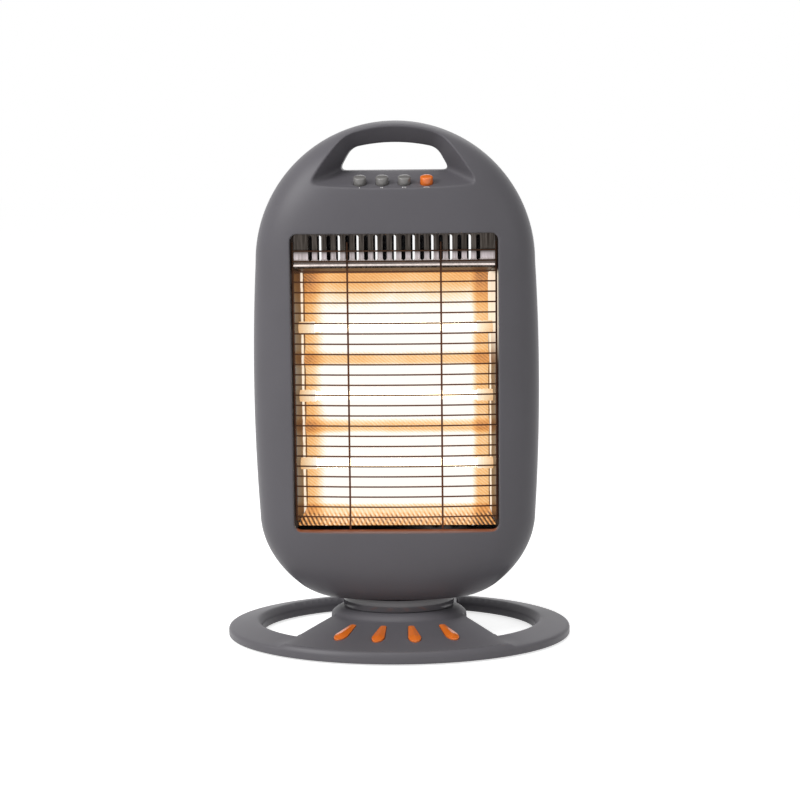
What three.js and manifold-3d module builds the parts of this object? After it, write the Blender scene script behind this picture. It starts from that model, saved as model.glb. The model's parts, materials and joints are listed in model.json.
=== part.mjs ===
// Free-standing halogen heater: a swinging body with three quartz lamps on an oval ring base.
// Millimetres, +Z up, the front faces -Y, the origin is on the floor under the swivel axis.
import * as THREE from 'three';
import { mergeVertices } from 'three/addons/utils/BufferGeometryUtils.js';
import Module from 'manifold-3d';

const wasm = await Module();
wasm.setup();

// ---- Driving dimensions ----

// Common fits
const SEAT_GAP = 0.3; // between faces that rest on each other
const RUNNING_GAP = 0.4; // round a piece that slides or turns
const HIDDEN_SIDES = 8; // facets of bosses and screw holes that don't show
const LAP = 1; // how far joined solids run into each other, and cutters past a face

// Base ring, an oval channel open downwards
const BASE_WIDTH = 380;
const BASE_DEPTH = 287;
const BASE_LIFT = 2; // the ring's lower edge above the floor
const RING_EDGE_TOP = 9; // top of the upright outer wall
const RING_CREST_TOP = 17;
const RING_CREST_INSET = 29; // from the outer edge to the crest
const RING_CREST_WIDTH = 4;
const RING_EDGE_ROUND = 2.4; // rise of the rounded edge above the outer wall
const RING_WIDTH = 38;
const RING_CHAMFER_DROP = 6.5;
const BASE_WALL = 3;
const RING_STEPS = 36;

// Hub and the two fans that join it to the ring
const HUB_HALF_WIDTH = 75;
const HUB_HALF_DEPTH = 51;
const HUB_TOP = 32;
const HUB_SHOULDER = 24; // where the fans meet the hub
const HUB_ROOF = 4;
const HUB_WALL = 5;
const HUB_SKIRT = 2; // how far the hub's foot stands out
const HUB_SKIRT_DROP = 5; // from the shoulder to the skirt
const FAN_LAP = 4; // how far the fans run over the ring's inner edge
const FAN_WAIST = 64; // half width of the rear bridge, and of the front fan at the swivel axis
const FAN_FLARE = 0.54; // sideways run of the front fan's side line for each mm outwards

// Accent inserts, two inner and two outer, on the front fan
// reach is the share of the way from the hub to the ring's crest
const INSERT_INNER = { x: 18, reach: 0.545, turn: 0.13 };
const INSERT_OUTER = { x: 55.6, reach: 0.42, turn: 0.33 };
const INSERT_LENGTH = 50;
const INSERT_NARROW = 3.4; // half width at the hub end
const INSERT_BROAD = 6.9; // half width at the broadest place
const INSERT_TAPER = 14; // from the broadest place to the tip
const INSERT_DEPTH = 1.5;
const INSERT_RISE = 2.6;

// Feet and the cover under the hub
const FOOT_RADIUS = 8;
const FOOT_HEIGHT = 3;
const FOOT_ANGLES = [40, 140, 220, 320];
const FOOT_PAD_WALL = 3;
const PLATE_THICKNESS = 2;
const PLATE_STEPS = 28;
const PLATE_SCREW_MARGIN = 7; // from the hub's inner wall
const PLATE_SCREW_ANGLE = 37.5;
const BASE_SCREW_LENGTH = 12;
const SCREW_TIP_ROOM = 2;

// Tip-over switch
const TIP_X = 32;
const TIP_Y = 0;
const PLUNGER_RADIUS = 3;
const PLUNGER_TRAVEL = 5;
const PLUNGER_HELD = 3.7; // what stays in the housing when the plunger is out
const PLUNGER_BOTTOM = 0.2;
const TIP_HOUSING = { halfLength: 10, halfWidth: 7, roof: 3 };

// Swivel
const COLLAR_HALF_WIDTH = 61.3;
const COLLAR_HALF_DEPTH = 42;
const COLLAR_WALL = 3;
const COLLAR_TOP = 46;
const COLLAR_CLEARANCE = 0.5; // between the turning collar and the hub
const SPINDLE_RADIUS = 4.8;
const SPINDLE_BORE = 3;
const SPINDLE_END = 18;
const BUSH_WALL = 1.4;
const BUSH_FLANGE = 1.7; // thickness
const BUSH_FLANGE_REACH = 3;
const WASHER_REACH = 2.5;
const CLIP_THICKNESS = 1.5;
const CLIP_GROOVE_DEPTH = 0.8;
const CLIP_REACH = 4;
const CLIP_MOUTH = 6;
const COLLAR_SCREW_X = 42;
const COLLAR_SCREW_Y = 17;
const COLLAR_SCREW_LENGTH = 13;
const COLLAR_BOSS_HEIGHT = 15;

// Swing drive: a crank in the body whose pin runs in a slot of the hub
const CRANK_OFFSET = 22; // from the swivel axis to the motor's axis
const SWING_LIMIT = 35; // degrees to each side
const CRANK_PIN_RADIUS = 1.75;
const SLOT_SIDE_PLAY = 0.105 * CRANK_OFFSET; // play that the opened pivot needs
const SHAFT_RADIUS = 3;
const CRANK_BOTTOM = 35;
const CRANK_THICKNESS = 5;
const CRANK_EYE_WALL = 3;
const CRANK_ARM_HALF_WIDTH = 4;
const CRANK_PIN_LIFT = 0.8; // of the pin's end above the underside of the hub's roof
const SHAFT_CLEARANCE = 1.5;
const MOTOR_RADIUS = 24;
const MOTOR_HEIGHT = 18;
const MOTOR_BOTTOM = 55;
const MOTOR_BORE = 8;
const MOTOR_NECK = { drop: 5, wall: 4 };
const MOTOR_EAR = { reach: 5, end: 4, halfWidth: 5, thickness: 2 };
const DRIVE_HOLE = { halfWidth: 9, back: 9, front: 10 };

// Body outline
const BODY_RADIUS = 152; // the top is a half circle, the bottom a half ellipse as wide
const TOP_CENTRE = 415;
const BOTTOM_CENTRE = 140;
const BOTTOM_DROP = 115;
const SIDE_BOW = 4.2;
const FLOOR_LEVEL = COLLAR_TOP + SEAT_GAP;
const FRONT_DEPTH = 61;
const REAR_DEPTH = 53;
const BODY_WALL = 2.6;
const CROWN_POWER = 3;

// Window
const WINDOW_HALF_WIDTH = 110.5;
const WINDOW_BOTTOM = 128;
const WINDOW_TOP = 448;
const WINDOW_CORNER = 9;
const FRAME_BACK = -42; // rear face of the frame round the window

// Handle opening and the scoop in front of it and behind it
const HOLE_DEPTH = 14; // half depth of the straight part of the opening
const SCOOP_DEPTH = 62;
const HOLE = { bottom: 514, lower: 60, upper: 46, shoulder: 538, crown: 544, corner: 6 };
const SCOOP = { bottom: 496, lower: 101.7, upper: 57.5, shoulder: 587.3, crown: 605.7, corner: 16 };

// Buttons on the shelf below the handle
const BUTTON_X = [-35.5, -11.8, 11.8, 35.5];
const BUTTON_DISTANCE = 31.8; // along the scoop's depth from the opening's edge
const BUTTON_RADIUS = 6.8;
const BUTTON_RISE = 6.3;
const BUTTON_SKIRT = 6;
const BUTTON_TRAVEL = 3.5;
const STEM_RADIUS = 2;
const SWITCH_HALF_LENGTH = 46;
const SWITCH_HALF_WIDTH = 9;
const SWITCH_HEIGHT = 20;
const SWITCH_EAR = { reach: 6, end: 4, halfWidth: 4, thickness: 3 };
const SWITCH_CLEARANCE = 0.7; // under a button that is pressed down
const STEM_LENGTH = 5; // of a button's stem inside the switch bank
const STEM_ROOM = 2;
const POST_RADIUS = 4;

// Heating chamber
const SHEET = 1;
const CHAMBER_FRONT = FRAME_BACK + SEAT_GAP;
const CHAMBER_BACK = 14;
const CHAMBER_FRONT_HALF = 108;
const CHAMBER_BACK_HALF = 101;
const REFLECTOR_TOP = 410;
const REFLECTOR_BOTTOM = 131;
const REFLECTOR_TAPER = 11; // how much top and bottom close in towards the back
const REFLECTOR_BEND = { depth: 2, height: 12 }; // between the walls and the back
const RIDGE_DEPTH = 10;
const RIDGE_HALF_HEIGHT = 11;
const LAMP_LEVELS = [344.5, 269.5, 194.5];
const LAMP_Y = -14;
const TUBE_RADIUS = 5;
const TUBE_WALL = 1;
const TUBE_HALF_LENGTH = 93;
const LAMP_SIDES = 12;
const FILAMENT_RADIUS = 1.3;
const CAP_RADIUS = 6.5;
const CAP_INNER_END = 88;
const CAP_OUTER_END = 112;
const CAP_POCKET = 6;

// Slotted vent plate
const SLOT_COUNT = 19;
const SLOT_PITCH = 10;
const SLOT_WIDTH = 4.4;
const SLOT_BOTTOM = 419;
const SLOT_TOP = 446;
const VENT_BOTTOM = 412;
const VENT_LIP = 6;

// Guard
const WIRE_COUNT = 27;
const WIRE_BOTTOM = 141.6;
const WIRE_TOP = 429.8;
const WIRE_RADIUS = 0.95;
const BORDER_RADIUS = 1.2;
const GUARD_EDGE_Y = -46;
const GUARD_BOW = 8;
const INNER_WIRE_X = 50;

// Rear shell: vents, shield, terminals, gland
const REAR_VENT_X = [-83.2, -62.4, -41.6, -20.8, 0, 20.8, 41.6, 62.4, 83.2];
const REAR_VENT_WIDTH = 6;
const UPPER_VENT = [398, 452];
const LOWER_VENT = [112, 134];
const LOWER_VENT_CLEAR = 25; // no lower vents nearer to the middle than this
const SHIELD_Y = 26;
const SHIELD_HALF_WIDTH = 104;
const SHIELD_BOTTOM = 140;
const SHIELD_TOP = 392;
const SHIELD_POST_X = 80;
const SHIELD_POST_INSET = 20; // from the shield's ends
const GLAND_LEVEL = 82;
const GLAND_RADIUS = 6.5;
const GLAND_BORE = 3.6;
const GLAND_HEAD = { reach: 3, start: 7, edge: 10, end: 14 }; // lengths from the inner end
const GLAND_PAD_WALL = 5;
const CUTOUT_LEVEL = 350;
const CUTOUT = { radius: 8, height: 6, tabHalfLength: 12, tabHalfHeight: 4 };
const TERMINAL_X = 45;
const TERMINAL_LEVEL = 100;
const TERMINAL_BLOCK = { front: 30, depth: 10, halfLength: 16, halfHeight: 7 };
const TERMINAL_WELL = { pitch: 10, depth: 7, radius: 3 };
const TERMINAL_POST_RADIUS = 6;

// Screws that join the shells: [x, z]
const SHELL_SCREWS = [[-128, 400], [128, 400], [-128, 160], [128, 160]];
const SCREW_RADIUS = 1.7;
const SCREW_HEAD_RADIUS = 3.6;
const SCREW_HEAD_HEIGHT = 1.2;
const BOSS_RADIUS = 5;
const SHELL_SCREW_LENGTH = 20;
const SCREW_SEAT = 6; // rear boss left under a shell screw's head

// ---- Solids from three.js geometry ----

function solid(geometry) {
  const bare = geometry.clone();
  bare.deleteAttribute('normal');
  bare.deleteAttribute('uv');
  const merged = mergeVertices(bare, 1e-4);
  const corners = merged.index.array;
  const faces = [];
  for (let i = 0; i < corners.length; i += 3) {
    const [a, b, c] = [corners[i], corners[i + 1], corners[i + 2]];
    if (a !== b && b !== c && c !== a) faces.push(a, b, c);
  }
  return new wasm.Manifold(new wasm.Mesh({
    numProp: 3,
    vertProperties: new Float32Array(merged.attributes.position.array),
    triVerts: new Uint32Array(faces),
  }));
}

function join(first, ...others) {
  return others.reduce((sum, other) => sum.add(other), first);
}

function cut(first, ...others) {
  return others.reduce((rest, other) => rest.subtract(other), first);
}

function geometryOf(body) {
  const mesh = body.getMesh();
  const geometry = new THREE.BufferGeometry();
  geometry.setAttribute('position', new THREE.BufferAttribute(new Float32Array(mesh.vertProperties), 3));
  geometry.setIndex(new THREE.BufferAttribute(new Uint32Array(mesh.triVerts), 1));
  geometry.computeVertexNormals();
  return geometry;
}

function box([x0, x1], [y0, y1], [z0, z1]) {
  const geometry = new THREE.BoxGeometry(x1 - x0, y1 - y0, z1 - z0);
  return solid(geometry.translate((x0 + x1) / 2, (y0 + y1) / 2, (z0 + z1) / 2));
}

// A round bar from one point to another.
function bar(from, to, radius, sides = 20) {
  const start = new THREE.Vector3(...from);
  const run = new THREE.Vector3(...to).sub(start);
  const geometry = new THREE.CylinderGeometry(radius, radius, run.length(), sides);
  geometry.translate(0, run.length() / 2, 0);
  geometry.applyQuaternion(new THREE.Quaternion().setFromUnitVectors(
    new THREE.Vector3(0, 1, 0), run.normalize()));
  return solid(geometry.translate(start.x, start.y, start.z));
}

function tube(from, to, radius, bore, sides = 20) {
  return cut(bar(from, to, radius, sides), bar(from, to, bore, sides));
}

// A bar of hidden facets along Z at each spot.
function uprights(spots, [z0, z1], radius, sides = HIDDEN_SIDES) {
  return spots.map(([x, y]) => bar([x, y, z0], [x, y, z1], radius, sides));
}

// A bar of hidden facets along Y at each place in the front view.
function pegs(places, [y0, y1], radius, sides = HIDDEN_SIDES) {
  return places.map(([x, z]) => bar([x, y0, z], [x, y1, z], radius, sides));
}

// A flat outline raised along Z, laid along Y, or laid along X.
function prismZ(points, [z0, z1]) {
  const outline = new THREE.Shape(points.map(([x, y]) => new THREE.Vector2(x, y)));
  const geometry = new THREE.ExtrudeGeometry(outline, { depth: z1 - z0, bevelEnabled: false });
  return solid(geometry.translate(0, 0, z0));
}

function prismY(points, [y0, y1]) {
  const outline = new THREE.Shape(points.map(([x, z]) => new THREE.Vector2(x, z)));
  const geometry = new THREE.ExtrudeGeometry(outline, { depth: y1 - y0, bevelEnabled: false });
  return solid(geometry.rotateX(Math.PI / 2).translate(0, y1, 0));
}

function prismX(points, [x0, x1]) {
  const outline = new THREE.Shape(points.map(([y, z]) => new THREE.Vector2(y, z)));
  const geometry = new THREE.ExtrudeGeometry(outline, { depth: x1 - x0, bevelEnabled: false });
  const turned = new THREE.Matrix4().makeBasis(
    new THREE.Vector3(0, 1, 0), new THREE.Vector3(0, 0, 1), new THREE.Vector3(1, 0, 0));
  return solid(geometry.applyMatrix4(turned).translate(x0, 0, 0));
}

// A turned body: [radius, height] pairs about a vertical axis.
function turned(profile, sides = 20) {
  const points = profile.map(([radius, height]) => new THREE.Vector2(radius, height));
  return solid(new THREE.LatheGeometry(points, sides).rotateX(Math.PI / 2));
}

function ellipse(a, b, steps = RING_STEPS) {
  return Array.from({ length: steps }, (_, i) => {
    const angle = (2 * Math.PI * i) / steps;
    return [a * Math.cos(angle), b * Math.sin(angle)];
  });
}

// A body skinned over rings of equal point counts, closed by a fan at each end or into a loop.
function skin(rings, looped = false) {
  const count = rings[0].length;
  const vertices = rings.flat();
  const faces = [];
  const bands = looped ? rings.length : rings.length - 1;
  for (let r = 0; r < bands; r += 1) {
    const lower = r * count;
    const upper = ((r + 1) % rings.length) * count;
    for (let i = 0; i < count; i += 1) {
      const j = (i + 1) % count;
      faces.push(lower + i, lower + j, upper + j, lower + i, upper + j, upper + i);
    }
  }
  if (!looped) {
    const ends = [rings[0], rings[rings.length - 1]];
    ends.forEach((ring, end) => {
      const middle = ring.reduce(
        (sum, point) => sum.map((value, k) => value + point[k] / count), [0, 0, 0]);
      const start = end * (rings.length - 1) * count;
      vertices.push(middle);
      for (let i = 0; i < count; i += 1) {
        const pair = [start + i, start + ((i + 1) % count)];
        faces.push(vertices.length - 1, ...(end ? pair : pair.reverse()));
      }
    });
  }
  const geometry = new THREE.BufferGeometry();
  geometry.setAttribute('position', new THREE.Float32BufferAttribute(vertices.flat(), 3));
  geometry.setIndex(signedVolume(vertices, faces) > 0 ? faces : faces.reverse());
  return solid(geometry);
}

function signedVolume(vertices, faces) {
  let sum = 0;
  for (let i = 0; i < faces.length; i += 3) {
    const [a, b, c] = [0, 1, 2].map((k) => new THREE.Vector3(...vertices[faces[i + k]]));
    sum += a.dot(b.cross(c));
  }
  return sum;
}

// Ellipses of the given half width, half depth and level, one above the other.
function oval(levels, steps = RING_STEPS) {
  return skin(levels.map(([a, b, z]) => ellipse(a, b, steps).map(([x, y]) => [x, y, z])));
}

// The outline of a bent sheet whose left side follows the points.
function sheetOutline(points, thickness) {
  const path = points.map(([u, v]) => new THREE.Vector2(u, v));
  const normals = path.slice(1).map((point, i) => {
    const run = point.clone().sub(path[i]).normalize();
    return new THREE.Vector2(run.y, -run.x);
  });
  const far = path.map((point, i) => {
    const before = normals[Math.max(i - 1, 0)];
    const after = normals[Math.min(i, normals.length - 1)];
    const mitre = before.clone().add(after);
    return point.clone().addScaledVector(mitre, (2 * thickness) / mitre.lengthSq());
  });
  return [...path, ...far.reverse()].map((point) => [point.x, point.y]);
}

function roundedRect(halfWidth, bottom, top, radius, steps = 4) {
  const corners = [
    [halfWidth - radius, bottom + radius, -Math.PI / 2],
    [halfWidth - radius, top - radius, 0],
    [radius - halfWidth, top - radius, Math.PI / 2],
    [radius - halfWidth, bottom + radius, Math.PI],
  ];
  return corners.flatMap(([x, z, start]) => Array.from({ length: steps + 1 }, (_, i) => {
    const angle = start + (Math.PI / 2 / steps) * i;
    return [x + radius * Math.cos(angle), z + radius * Math.sin(angle)];
  }));
}

// A pan-head screw that points along +Z from its head's outer face at the origin.
function screw(length) {
  return turned([
    [0, 0], [SCREW_HEAD_RADIUS * 0.7, 0], [SCREW_HEAD_RADIUS, SCREW_HEAD_HEIGHT / 2],
    [SCREW_HEAD_RADIUS, SCREW_HEAD_HEIGHT], [SCREW_RADIUS, SCREW_HEAD_HEIGHT],
    [SCREW_RADIUS, length - SCREW_RADIUS / 2], [0, length],
  ], 12);
}

// ---- Materials and the model group ----

const heater = new THREE.Group();

function material(color, roughness, metalness = 0, extra = {}) {
  return () => new THREE.MeshStandardMaterial({ color, roughness, metalness, ...extra });
}

const finishes = {
  greyPlastic: material(0x5c5a5d, 0.55),
  buttonGrey: material(0x9c9a98, 0.45),
  orange: material(0xe0702c, 0.4),
  aluminium: material(0xd8d2c8, 0.3, 0.9),
  steel: material(0xa8a6a2, 0.35, 0.9),
  wire: material(0x3b332e, 0.45, 0.8),
  quartz: material(0xfff2dc, 0.1, 0, { transparent: true, opacity: 0.5 }),
  filament: material(0xffd9a0, 0.4, 0.3, { emissive: 0xffb060 }),
  ceramic: material(0xe9e4d8, 0.6),
  rubber: material(0x1e1e1f, 0.9),
  blackPlastic: material(0x242424, 0.5),
  whiteNylon: material(0xe4e2dc, 0.5),
};

function place(name, body, finish, position = [0, 0, 0], rotation = [0, 0, 0]) {
  const mesh = new THREE.Mesh(geometryOf(body), finishes[finish]());
  mesh.name = name;
  mesh.position.set(...position);
  mesh.rotation.set(...rotation);
  heater.add(mesh);
}

// ---- Base ----

const baseHalfWidth = BASE_WIDTH / 2;
const baseHalfDepth = BASE_DEPTH / 2;
const crestHalfDepth = baseHalfDepth - RING_CREST_INSET;
const fanDrop = (HUB_SHOULDER - RING_CREST_TOP) / (crestHalfDepth - HUB_HALF_DEPTH);
const fanTilt = Math.atan(fanDrop);
const plateTop = BASE_LIFT + PLATE_THICKNESS;
const hubRoofBelow = HUB_TOP - HUB_ROOF;

// Height of the fan's upper face at a distance in front of the swivel axis.
function fanHeight(distance) {
  return HUB_SHOULDER - (distance - HUB_HALF_DEPTH) * fanDrop;
}

function ringBody() {
  const crestInner = RING_CREST_INSET + RING_CREST_WIDTH;
  const section = [
    [0, BASE_LIFT],
    [0, RING_EDGE_TOP],
    [BASE_WALL, RING_EDGE_TOP + RING_EDGE_ROUND],
    [RING_CREST_INSET, RING_CREST_TOP],
    [crestInner, RING_CREST_TOP],
    [RING_WIDTH, RING_CREST_TOP - RING_CHAMFER_DROP],
    [RING_WIDTH, BASE_LIFT],
    [RING_WIDTH - BASE_WALL, BASE_LIFT],
    [RING_CREST_INSET + RING_CREST_WIDTH / 2, RING_CREST_TOP - BASE_WALL],
    [BASE_WALL, RING_EDGE_TOP + RING_EDGE_ROUND - BASE_WALL],
    [BASE_WALL, BASE_LIFT],
  ];
  return skin(section.map(([inset, z]) => ellipse(baseHalfWidth - inset, baseHalfDepth - inset)
    .map(([x, y]) => [x, y, z])), true);
}

// The bridge flares out to a fan in front and runs straight back, behind the hub.
function fanPlan(inset) {
  const reach = baseHalfDepth;
  const waist = FAN_WAIST - inset;
  const flared = waist + reach * FAN_FLARE;
  return [[waist, reach], [-waist, reach], [-waist, 0], [-flared, -reach], [flared, -reach], [waist, 0]];
}

function fanBody(inset, bottom) {
  const edge = RING_WIDTH - FAN_LAP + inset * 1.5;
  const edgeDepth = baseHalfDepth - edge;
  const slope = oval([
    [baseHalfWidth - edge, edgeDepth, bottom],
    [baseHalfWidth - edge, edgeDepth, fanHeight(edgeDepth) - inset],
    [HUB_HALF_WIDTH, HUB_HALF_DEPTH, HUB_SHOULDER - inset],
  ]);
  return slope.intersect(prismZ(fanPlan(inset), [bottom - LAP, HUB_TOP]));
}

function hubBody() {
  const rounding = HUB_TOP - HUB_SHOULDER;
  return oval([
    [HUB_HALF_WIDTH + HUB_SKIRT, HUB_HALF_DEPTH + HUB_SKIRT, BASE_LIFT],
    [HUB_HALF_WIDTH + HUB_SKIRT, HUB_HALF_DEPTH + HUB_SKIRT, HUB_SHOULDER - HUB_SKIRT_DROP],
    [HUB_HALF_WIDTH, HUB_HALF_DEPTH, HUB_SHOULDER],
    [HUB_HALF_WIDTH - rounding, HUB_HALF_DEPTH - rounding, HUB_TOP],
  ]);
}

const footSpots = FOOT_ANGLES.map((degrees) => {
  const angle = THREE.MathUtils.degToRad(degrees);
  const inset = RING_WIDTH / 2;
  return [(baseHalfWidth - inset) * Math.cos(angle), (baseHalfDepth - inset) * Math.sin(angle)];
});
const footPocketTop = FOOT_HEIGHT + SEAT_GAP;
const plateScrewAngle = THREE.MathUtils.degToRad(PLATE_SCREW_ANGLE);
const plateScrewX = (HUB_HALF_WIDTH - HUB_WALL - PLATE_SCREW_MARGIN) * Math.cos(plateScrewAngle);
const plateScrewY = (HUB_HALF_DEPTH - HUB_WALL - PLATE_SCREW_MARGIN) * Math.sin(plateScrewAngle);
const plateScrewSpots = [[-1, -1], [1, -1], [-1, 1], [1, 1]]
  .map(([sx, sy]) => [sx * plateScrewX, sy * plateScrewY]);
const plateScrewFace = BASE_LIFT - SEAT_GAP - SCREW_HEAD_HEIGHT;

// Teardrop outline with its narrow end towards +Y.
function teardrop(grow) {
  const half = INSERT_LENGTH / 2;
  const points = [];
  const ends = [
    [half - INSERT_NARROW, INSERT_NARROW, INSERT_NARROW, 0],
    [INSERT_TAPER - half, INSERT_BROAD, INSERT_TAPER, Math.PI],
  ];
  const steps = 5;
  ends.forEach(([y, halfWidth, reach, start]) => {
    for (let i = 0; i <= steps; i += 1) {
      const angle = start + (Math.PI * i) / steps;
      points.push([(halfWidth + grow) * Math.cos(angle), y + (reach + grow) * Math.sin(angle)]);
    }
  });
  return points;
}

// The rounded top rises towards the broad end.
function insertBody() {
  const rim = teardrop(0);
  const level = (share, y) => share * INSERT_RISE * (0.6 - (0.8 * y) / INSERT_LENGTH);
  return skin([
    rim.map(([x, y]) => [x, y, SEAT_GAP - INSERT_DEPTH]),
    rim.map(([x, y]) => [x, y, level(0.35, y)]),
    rim.map(([x, y]) => [x * 0.72, y * 0.93, level(0.85, y)]),
    rim.map(([x, y]) => [x * 0.25, y * 0.8, level(1, y)]),
  ]);
}

const insertSpots = [[INSERT_OUTER, -1], [INSERT_INNER, -1], [INSERT_INNER, 1], [INSERT_OUTER, 1]]
  .map(([place, side]) => [
    side * place.x,
    -THREE.MathUtils.lerp(HUB_HALF_DEPTH, crestHalfDepth, place.reach),
    side * place.turn,
  ]);

// The fan is an oval cone, so its face at the side lies where the same share of the slope is reached.
function insertMatrix([x, y, turn]) {
  const share = (t) => Math.hypot(
    x / THREE.MathUtils.lerp(HUB_HALF_WIDTH, baseHalfWidth - RING_CREST_INSET, t),
    y / THREE.MathUtils.lerp(HUB_HALF_DEPTH, crestHalfDepth, t));
  let [near, far] = [0, 1];
  for (let i = 0; i < 30; i += 1) {
    const middle = (near + far) / 2;
    if (share(middle) > 1) near = middle;
    else far = middle;
  }
  const z = THREE.MathUtils.lerp(HUB_SHOULDER, RING_CREST_TOP, near);
  const matrix = new THREE.Matrix4().makeTranslation(x, y, z);
  matrix.multiply(new THREE.Matrix4().makeRotationX(fanTilt));
  return matrix.multiply(new THREE.Matrix4().makeRotationZ(turn));
}

function moved(body, matrix) {
  return solid(geometryOf(body).applyMatrix4(matrix));
}

// Crank and slot sizes follow from the swing: the pin's line is tangent at the limit.
const crankRadius = CRANK_OFFSET * Math.sin(THREE.MathUtils.degToRad(SWING_LIMIT));
const slotHalfWidth = CRANK_PIN_RADIUS + SLOT_SIDE_PLAY + RUNNING_GAP;
const slotNear = CRANK_OFFSET - crankRadius - CRANK_PIN_RADIUS;
const slotFar = CRANK_OFFSET + crankRadius + CRANK_PIN_RADIUS + RUNNING_GAP;
const bushBore = SPINDLE_RADIUS + SEAT_GAP;
const bushRadius = bushBore + BUSH_WALL;

function baseRing() {
  const hubOutside = oval([
    [HUB_HALF_WIDTH + LAP, HUB_HALF_DEPTH + LAP, 0],
    [HUB_HALF_WIDTH + LAP, HUB_HALF_DEPTH + LAP, HUB_TOP + LAP],
  ]);
  const cavity = oval([
    [HUB_HALF_WIDTH - HUB_WALL, HUB_HALF_DEPTH - HUB_WALL, 0],
    [HUB_HALF_WIDTH - HUB_WALL, HUB_HALF_DEPTH - HUB_WALL, hubRoofBelow - HUB_WALL],
    [HUB_HALF_WIDTH - 2 * HUB_WALL, HUB_HALF_DEPTH - 2 * HUB_WALL, hubRoofBelow],
  ]);
  const hollow = cut(
    join(ringBody(), fanBody(0, BASE_LIFT), hubBody()),
    cut(fanBody(BASE_WALL, 0), hubOutside), cavity);
  const padTop = RING_EDGE_TOP + FOOT_PAD_WALL;
  const pads = uprights(footSpots, [BASE_LIFT, padTop], FOOT_RADIUS + FOOT_PAD_WALL, 12);
  const posts = uprights(plateScrewSpots, [plateTop + SEAT_GAP, hubRoofBelow + LAP], BOSS_RADIUS);
  const pockets = uprights(footSpots, [0, footPocketTop], FOOT_RADIUS + SEAT_GAP, 12);
  const screwHoleTop = plateScrewFace + BASE_SCREW_LENGTH + SCREW_TIP_ROOM;
  const screwHoles = uprights(plateScrewSpots, [0, screwHoleTop], SCREW_RADIUS + SEAT_GAP);
  const insertPockets = insertSpots.map((spot) => moved(
    prismZ(teardrop(SEAT_GAP), [-INSERT_DEPTH, INSERT_RISE * 2]), insertMatrix(spot)));
  const throughRoof = [hubRoofBelow - LAP, HUB_TOP + LAP];
  const crankSlot = box([-slotHalfWidth, slotHalfWidth], [-slotFar, -slotNear], throughRoof);
  const [bushHole] = uprights([[0, 0]], throughRoof, bushRadius + SEAT_GAP, 24);
  const body = join(hollow, ...pads, ...posts);
  return cut(body, ...pockets, ...screwHoles, ...insertPockets, crankSlot, bushHole);
}

function bottomPlate() {
  const halfWidth = HUB_HALF_WIDTH - HUB_WALL - SEAT_GAP;
  const halfDepth = HUB_HALF_DEPTH - HUB_WALL - SEAT_GAP;
  const plate = oval([[halfWidth, halfDepth, BASE_LIFT], [halfWidth, halfDepth, plateTop]], PLATE_STEPS);
  const through = [0, plateTop + LAP];
  const screwHoles = uprights(plateScrewSpots, through, SCREW_RADIUS + SEAT_GAP);
  const plungerHole = uprights([[TIP_X, TIP_Y]], through, PLUNGER_RADIUS + RUNNING_GAP, 16);
  return cut(plate, ...screwHoles, ...plungerHole);
}

function buildBase() {
  place('base_ring', baseRing(), 'greyPlastic');
  insertSpots.forEach((spot, i) => {
    place(`accent_insert_${i + 1}`, moved(insertBody(), insertMatrix(spot)), 'orange');
  });
  footSpots.forEach(([x, y], i) => {
    const profile = [
      [0, 0], [FOOT_RADIUS - LAP, 0], [FOOT_RADIUS, LAP], [FOOT_RADIUS, FOOT_HEIGHT], [0, FOOT_HEIGHT]];
    place(`foot_${i + 1}`, turned(profile, 12), 'rubber', [x, y, 0]);
  });
  place('base_bottom_plate', bottomPlate(), 'blackPlastic');
  plateScrewSpots.forEach(([x, y], i) => {
    place(`base_screw_${i + 1}`, screw(BASE_SCREW_LENGTH), 'steel', [x, y, plateScrewFace]);
  });
}

// ---- Tip-over switch ----

function buildTipSwitch() {
  const housingBottom = plateTop + SEAT_GAP;
  const plungerTop = housingBottom + PLUNGER_TRAVEL + PLUNGER_HELD;
  const chamberTop = plungerTop + LAP;
  const { halfLength, halfWidth, roof } = TIP_HOUSING;
  const housing = box(
    [TIP_X - halfLength, TIP_X + halfLength], [TIP_Y - halfWidth, TIP_Y + halfWidth],
    [housingBottom, chamberTop + roof]);
  const guide = uprights(
    [[TIP_X, TIP_Y]], [housingBottom - LAP, chamberTop], PLUNGER_RADIUS + RUNNING_GAP, 16);
  place('tip_switch', cut(housing, ...guide), 'blackPlastic');
  const plunger = turned([
    [0, PLUNGER_BOTTOM], [PLUNGER_RADIUS - LAP, PLUNGER_BOTTOM], [PLUNGER_RADIUS, PLUNGER_BOTTOM + LAP],
    [PLUNGER_RADIUS, plungerTop], [0, plungerTop],
  ], 16);
  place('tip_plunger', plunger, 'whiteNylon', [TIP_X, TIP_Y, 0]);
}

// ---- Swivel ----

const collarBottom = HUB_TOP + COLLAR_CLEARANCE;
const collarRoof = COLLAR_TOP - COLLAR_WALL;
const flangeBottom = hubRoofBelow - SEAT_GAP - BUSH_FLANGE;
const washerTop = flangeBottom - SEAT_GAP;
const washerBottom = washerTop - CLIP_THICKNESS;
const clipTop = washerBottom - SEAT_GAP;
const clipBottom = clipTop - CLIP_THICKNESS;
const clipGroove = SPINDLE_RADIUS - CLIP_GROOVE_DEPTH;
const collarScrewSpots = [[-1, -1], [1, -1], [-1, 1], [1, 1]]
  .map(([sx, sy]) => [sx * COLLAR_SCREW_X, sy * COLLAR_SCREW_Y]);
const collarScrewFace = collarRoof - SEAT_GAP - SCREW_HEAD_HEIGHT;

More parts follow.
